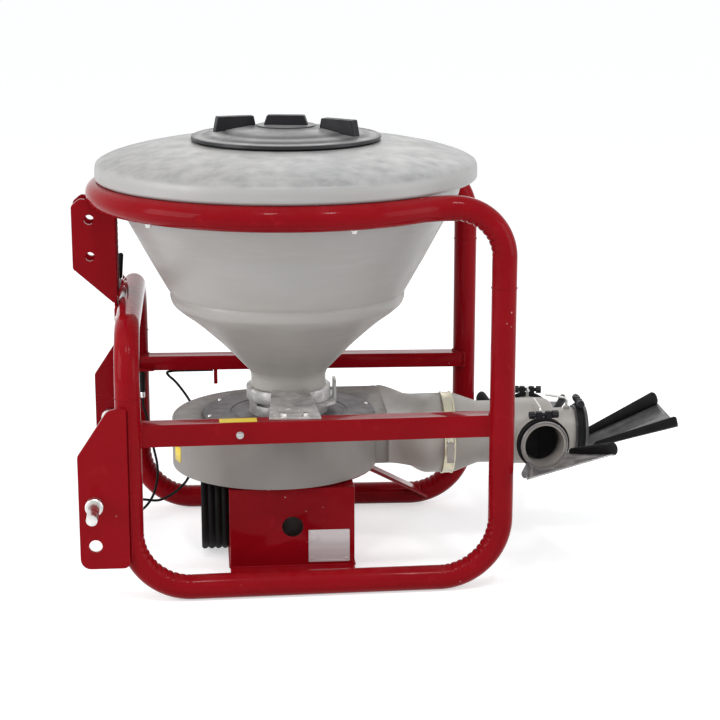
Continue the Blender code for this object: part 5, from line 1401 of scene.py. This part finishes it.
# %% [markdown]
# ## The hopper
#
# One blow-moulded shell: a shallow dome with the lid's seat, a rim that rests on the ring, a steep cone,
# a mould line with a soft belly below it, and a flatter cone down to the neck. Its corners are rounded
# in the profile before spinning, because a moulded shell has no sharp edge anywhere.

# %% Hopper
HOPPER_WALL = 0.005
LID_SEAT_R, LID_SEAT_Z, LID_OPENING_R = 0.190, 0.852, 0.168
RIM_R, RIM_TOP_Z = 0.380, 0.812
NECK_R, NECK_TOP_Z, NECK_FOOT_Z = 0.076, 0.386, BAR_TOP_Z + GAP


def open_profile(corners, steps=6):
    """Points of an open outline whose inner corners are rounded by their radius."""
    points = []
    for index, (radius, high, fillet) in enumerate(corners):
        here = Vector((radius, high))
        if fillet == 0 or index in (0, len(corners) - 1):
            points.append((radius, high))
            continue
        before = Vector(corners[index - 1][:2]) - here
        after = Vector(corners[index + 1][:2]) - here
        reach = min(fillet, before.length * 0.48, after.length * 0.48)
        start, end = here + before.normalized() * reach, here + after.normalized() * reach
        for step in range(steps + 1):
            t = step / steps
            points.append(tuple(start * (1 - t) ** 2 + here * 2 * t * (1 - t) + end * t * t))
    return points


def make_hopper():
    clear = RING_R - TUBE_R - 0.0025
    ledge = RING_Z + TUBE_R + GAP
    wall = HOPPER_WALL
    outer = open_profile([
        (LID_SEAT_R + 0.004, LID_SEAT_Z, 0), (0.230, 0.849, 0.02), (0.280, 0.842, 0.02),
        (0.330, 0.8315, 0.015), (0.362, 0.8215, 0.012), (RIM_R - 0.002, RIM_TOP_Z, 0.012),
        (RIM_R, RIM_TOP_Z - 0.010, 0.004), (RIM_R, ledge + 0.004, 0.003), (RIM_R - 0.005, ledge, 0.002),
        (clear + 0.004, ledge, 0.003), (clear - 0.001, RING_Z + 0.012, 0.006),
        (clear - 0.006, RING_Z - 0.010, 0.010), (0.303, 0.672, 0.03), (0.2815, 0.631, 0.02),
        (0.2600, 0.592, 0.02), (0.2405, 0.5570, 0.004), (0.2375, 0.5530, 0.002), (0.2352, 0.5505, 0.001),
        (0.2368, 0.5470, 0.002), (0.2368, 0.5400, 0.006), (0.2330, 0.5280, 0.010), (0.2160, 0.5125, 0.014),
        (0.1960, 0.4985, 0.014), (0.1760, 0.4820, 0.014), (0.133, 0.443, 0.02),
        (0.095, 0.402, 0.012), (NECK_R + 0.004, NECK_TOP_Z, 0.008), (NECK_R, NECK_TOP_Z - 0.010, 0.006),
        (NECK_R, NECK_FOOT_Z, 0)])
    inner = [(NECK_R - wall, NECK_FOOT_Z), (NECK_R - wall, NECK_TOP_Z - 0.004), (0.091, 0.406),
             (0.172, 0.489), (0.202, 0.516), (0.225, 0.552), (0.298, 0.675),
             (clear - 0.011, RING_Z - 0.008), (clear - 0.006, ledge + wall), (RIM_R - wall, ledge + 0.010),
             (RIM_R - wall, RIM_TOP_Z - 0.008), (0.328, 0.8265), (0.229, 0.844),
             (LID_OPENING_R, LID_SEAT_Z - wall), (LID_OPENING_R, LID_SEAT_Z)]
    place("hopper_shell", lathe(outer + inner, 192), hopper_polythene, "hopper", sharp=60.0)
    print("hopper", 2 * RIM_R, "m across")


make_hopper()

# %% [markdown]
# ## Lid and grips
#
# The lid is turned with shallow steps that catch the light as rings. Three block grips let a gloved
# hand turn it. Each stands at its own angle, and is a block with tapered ends and soft edges.

# %% Lid
LID_R, LID_EDGE = 0.1887, 0.011
LID_HUB_R, LID_HUB_RISE, LID_HUB_T, LID_SKIN = 0.059, 0.0175, 0.002, 0.004
LID_SPIGOT_R, LID_SPIGOT_DEPTH = 0.160, 0.018
GRIP_LENGTH, GRIP_WIDTH, GRIP_HEIGHT = 0.088, 0.022, 0.019
GRIPS = ((-0.101, 0.026, 13.0), (0.0, 0.0, -9.0), (0.102, -0.046, -40.0))
SEAL_LOW = LID_SEAT_Z + GAP
SEAL_HIGH = SEAL_LOW + 0.003


def make_lid():
    seal = [(LID_OPENING_R + 0.001, SEAL_LOW), (LID_R - 0.006, SEAL_LOW), (LID_R - 0.006, SEAL_HIGH),
            (LID_OPENING_R + 0.001, SEAL_HIGH)]
    place("lid_gasket", lathe(seal, 128), black_rubber, "lid_seal", "seal")
    low = SEAL_HIGH + GAP
    edge_top = LID_SEAT_Z + LID_EDGE
    hub_z = edge_top + LID_HUB_RISE
    hub_top = hub_z + LID_HUB_T
    slope = (hub_z - edge_top) / (LID_R - 0.008 - LID_HUB_R)
    steps = [(radius, hub_z - slope * (radius - LID_HUB_R) - 0.0004 - drop)
             for radius, drop in ((0.118, 0.0), (0.122, 0.0016), (0.156, 0.0), (0.160, 0.0016))]
    skirt = LID_SPIGOT_R - LID_SKIN
    profile = [(0.0, hub_top), (LID_HUB_R - 0.001, hub_top), (LID_HUB_R, hub_top - 0.0008),
               (LID_HUB_R + 0.0005, hub_z - 0.0002), *steps, (LID_R - 0.009, edge_top - 0.0010),
               (LID_R - 0.0075, edge_top), (LID_R - 0.003, edge_top), (LID_R - 0.0008, edge_top - 0.0010),
               (LID_R, edge_top - 0.003), (LID_R, low + 0.001), (LID_R - 0.001, low), (LID_SPIGOT_R, low),
               (LID_SPIGOT_R, low - LID_SPIGOT_DEPTH), (skirt, low - LID_SPIGOT_DEPTH), (skirt, low + 0.002),
               (LID_HUB_R, hub_z - LID_SKIN), (0.0, hub_z - LID_SKIN)]
    place("lid_cover", lathe(profile, 160, closed=False), lid_plastic, "lid", "cover", sharp=28.0)
    half = GRIP_LENGTH / 2
    grips = []
    for x, y, degrees in GRIPS:
        foot, drop = (hub_top - 0.001, 0.0) if x == 0.0 else (edge_top - 0.001, 0.004)
        top = hub_top + GRIP_HEIGHT - drop
        grip = sheet([(-half, foot), (half, foot), (half - 0.007, top), (-half + 0.007, top)], GRIP_WIDTH,
                     upright_xz(-GRIP_WIDTH / 2))
        grips.append(moved(grip, at(x, y, 0) @ turned(degrees, "Z")))
    place("lid_grips", merged(*grips), black_moulding, body="cover", bevel=0.0026, segments=4)


make_lid()

# %% [markdown]
# ## The gate under the hopper
#
# A rough aluminium casting clamps the neck and holds the sliding shutter. Two flat lugs bolt it to the
# cross bars. The shapes are simple, and the sand-cast finish does most of the work.

# %% Gate
BRACKET_T = 0.004


def hex_bolt(width, head, stem_r, stem, matrix):
    """A hexagon head with a short stem below it, on the local Z axis."""
    outline = circle(0.0, 0.0, width / math.sqrt(3), 6)
    stem_rod = rod((0, 0, -stem), (0, 0, 0.0005), stem_r, 20)
    return moved(merged(sheet(outline, head, Matrix()), stem_rod), matrix)


def washer(radius, thickness, matrix):
    return moved(rod((0, 0, 0), (0, 0, thickness), radius, 32), matrix)


def side_y(x):
    """Half distance between the side loops at a place along the machine."""
    share = (REAR_X - x) / (REAR_X - FRONT_X)
    return REAR_HALF_Y + (FRONT_HALF_Y - REAR_HALF_Y) * share


def make_gate():
    dress("gate_ring", "gate_casting", cast_aluminium, 0.0012)
    dress("gate_shutter", "gate_slide", cast_aluminium, 0.0009, "shutter")
    bolts = []
    for name, way in SIDES:
        dress(name + "_gate_bracket", name + "_gate_lug", cast_aluminium, 0.0009)
        for x in (-0.021, 0.021):
            seat = at(x, way * (side_y(0.0) - BAR_INSET), BAR_TOP_Z + GAP + BRACKET_T)
            spin = at(0, 0, 0.0014) @ Matrix.Rotation(x * 40, 4, "Z")
            bolts += [washer(0.0085, 0.0014, seat), hex_bolt(0.012, 0.0060, 0.0032, 0.006, seat @ spin)]
    place("gate_lug_bolts", merged(*bolts), bright_zinc, bevel=0.0006)


make_gate()

# %% [markdown]
# ## Levers, drive and the small things
#
# The remaining CAD nodes have the right shape, so each only gets its finish, and where an edge shows a
# small bevel. The small things are the bolts in the ring, the plated screw in the near bar, the yellow
# strips, the stop tab and the cable's ferrule.

# %% Levers and drive
LEVER_PIVOT_X, LEVER_PIVOT_Z, LEVER_WIDTH, LEVER_DROP = -0.3497, 0.468, 0.009, 0.1205
LEVERS = (("gate", -1.0, 0.154), ("dose", 4.0, 0.176))
KEPT = {"fan_wheel": cast_aluminium, "fan_shaft": machined_steel, "agitator": machined_steel,
        "gear_case": cast_aluminium, "crown_wheel": machined_steel, "pto_shaft": machined_steel,
        "pto_bearing": machined_steel}


def make_levers():
    half, foot = LEVER_WIDTH / 2 + 0.0012, -LEVER_DROP
    outline = eased([(-half, foot - 0.0012, half * 0.9), (half, foot - 0.0012, half * 0.9),
                     (half, foot + 0.013, 0.001), (-half, foot + 0.013, 0.001)], 4)
    for name, lean, y in LEVERS:
        body = name + "_hand_lever"
        dress(name + "_lever", name + "_lever_bar", machined_steel, 0.0006, body)
        dress(name + "_lever_grip", name + "_lever_handle", black_rubber, 0.0008, body, "black_plastic")
        hang = at(LEVER_PIVOT_X, 0, LEVER_PIVOT_Z) @ turned(lean, "Y")
        place(name + "_lever_shoe", sheet(outline, 0.0066, hang @ upright_xz(y - 0.0033)), black_rubber,
              body=body, slot="black_plastic", bevel=0.0008)
    dress("lever_bracket", "lever_fork", red_enamel, 0.0008)
    dress("lever_bolt", "lever_pivot_bolt", bright_zinc, 0.0005)
    dress("cable_anchor", "cable_bracket", red_enamel, 0.0006)
    dress("cable_boot", "cable_gaiter", black_rubber, 0.0008)


def make_guard():
    guard_r, end_x, shaft_z = 0.0895, -0.183, 0.095
    rib_depth, wall = 0.0035, 0.005
    flange_x = PEDESTAL_FRONT_X - GAP
    pitch = (flange_x - end_x) / 4
    profile = []
    for rib in range(4):
        for drop, share in ((rib_depth, 0), (0.0007, 0.2), (0, 0.32), (0, 0.56), (0.0007, 0.68)):
            profile.append((guard_r - drop, end_x + pitch * rib + pitch * share))
    bore = guard_r - rib_depth - wall
    profile += [(guard_r - rib_depth, flange_x), (bore, flange_x), (bore, end_x)]
    place("shaft_guard", lathe(profile, 80, along_x(0.0, 0.0, shaft_z)), black_rubber, "pto_guard",
          sharp=50.0)


make_levers()
make_guard()
for kept_node, kept_finish in KEPT.items():
    for kept_slot in frame["nodes"][kept_node].material_slots:
        kept_slot.material = kept_finish
print("kept CAD nodes", list(KEPT))

# %% Small things
STICKER_Z, STICKER_TURN = (0.212, 0.244), (194.0, 203.5)
SCREW_X, FILM_X, FILM_HALF_Y = -0.1057, (-0.1445, -0.073), 0.0135


def make_small_bolts():
    bolts = []
    for x, y in ((0.105, -0.357), (-0.269, -0.262)):
        seat = Vector((x, y, 0.0)).normalized() * RING_R + Vector((0.0, 0.0, RING_Z - TUBE_R + 0.001))
        spin = Matrix.Translation(seat) @ turned(180, "X")
        bolts += [washer(0.0080, 0.0016, spin),
                  hex_bolt(0.010, 0.0055, 0.003, 0.004, spin @ at(0, 0, 0.0016))]
    place("ring_bolts", merged(*bolts), bright_zinc, bevel=0.0005)
    seat = along_y(SCREW_X, -(side_y(SCREW_X) - BAR_INSET + BAR_WIDTH / 2), 0.327, -1)
    screw = merged(washer(0.0074, 0.0012, seat),
                   hex_bolt(0.011, 0.0052, 0.003, 0.002, seat @ at(0, 0, 0.0012)))
    place("near_bar_screw", screw, machined_steel, slot="zinc", bevel=0.0006)


def make_stickers():
    lean = math.atan2(REAR_HALF_Y - FRONT_HALF_Y, REAR_X - FRONT_X)
    middle, half = sum(FILM_X) / 2, (FILM_X[1] - FILM_X[0]) / 2
    lay = at(middle, -side_y(middle) + BAR_INSET, BAR_TOP_Z) @ Matrix.Rotation(-lean, 4, "Z")
    strip = rounded_box((-half, -FILM_HALF_Y), (half, FILM_HALF_Y), 0.001, 3)
    place("near_bar_strip", sheet(strip, 0.0004, lay), yellow_film)
    data = bmesh.new()
    ends = [data.verts.new((SCROLL_X + SCROLL_R + 0.0002, 0.0, z)) for z in STICKER_Z]
    edge = data.edges.new(ends)
    bmesh.ops.rotate(data, verts=ends, cent=(SCROLL_X, 0, 0), matrix=turned(STICKER_TURN[0], "Z").to_3x3())
    bmesh.ops.spin(data, geom=[*ends, edge], cent=(SCROLL_X, 0, 0), axis=(0, 0, 1), dvec=(0, 0, 0),
                   angle=math.radians(STICKER_TURN[1] - STICKER_TURN[0]), steps=10)
    give_wall(place("drum_sticker", data, yellow_film), 0.0003, 1.0)


def make_cable_stop():
    tab = eased([(-0.151, 0.286, 0.0015), (-0.143, 0.286, 0.0015),
                 (-0.143, 0.322, 0), (-0.151, 0.322, 0)], 3)
    place("cable_stop_tab", sheet(tab, 0.004, upright_xz(0.2672)), red_enamel, bevel=0.0006)
    ferrule = [(0.0, 0.276), (0.0048, 0.276), (0.0052, 0.2752),
               (0.0052, 0.2655), (0.0044, 0.2640), (0.0, 0.2640)]
    place("cable_ferrule", lathe(ferrule, 28, at(-0.306, 0.248, 0.0), False), bright_zinc)


make_small_bolts()
make_stickers()
make_cable_stop()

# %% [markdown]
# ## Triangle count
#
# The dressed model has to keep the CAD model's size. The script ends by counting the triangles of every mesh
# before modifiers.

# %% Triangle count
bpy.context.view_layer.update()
triangles = 0
for item in bpy.data.objects:
    if item.type == "MESH":
        triangles += sum(len(polygon.vertices) - 2 for polygon in item.data.polygons)
print("triangles before modifiers", triangles)
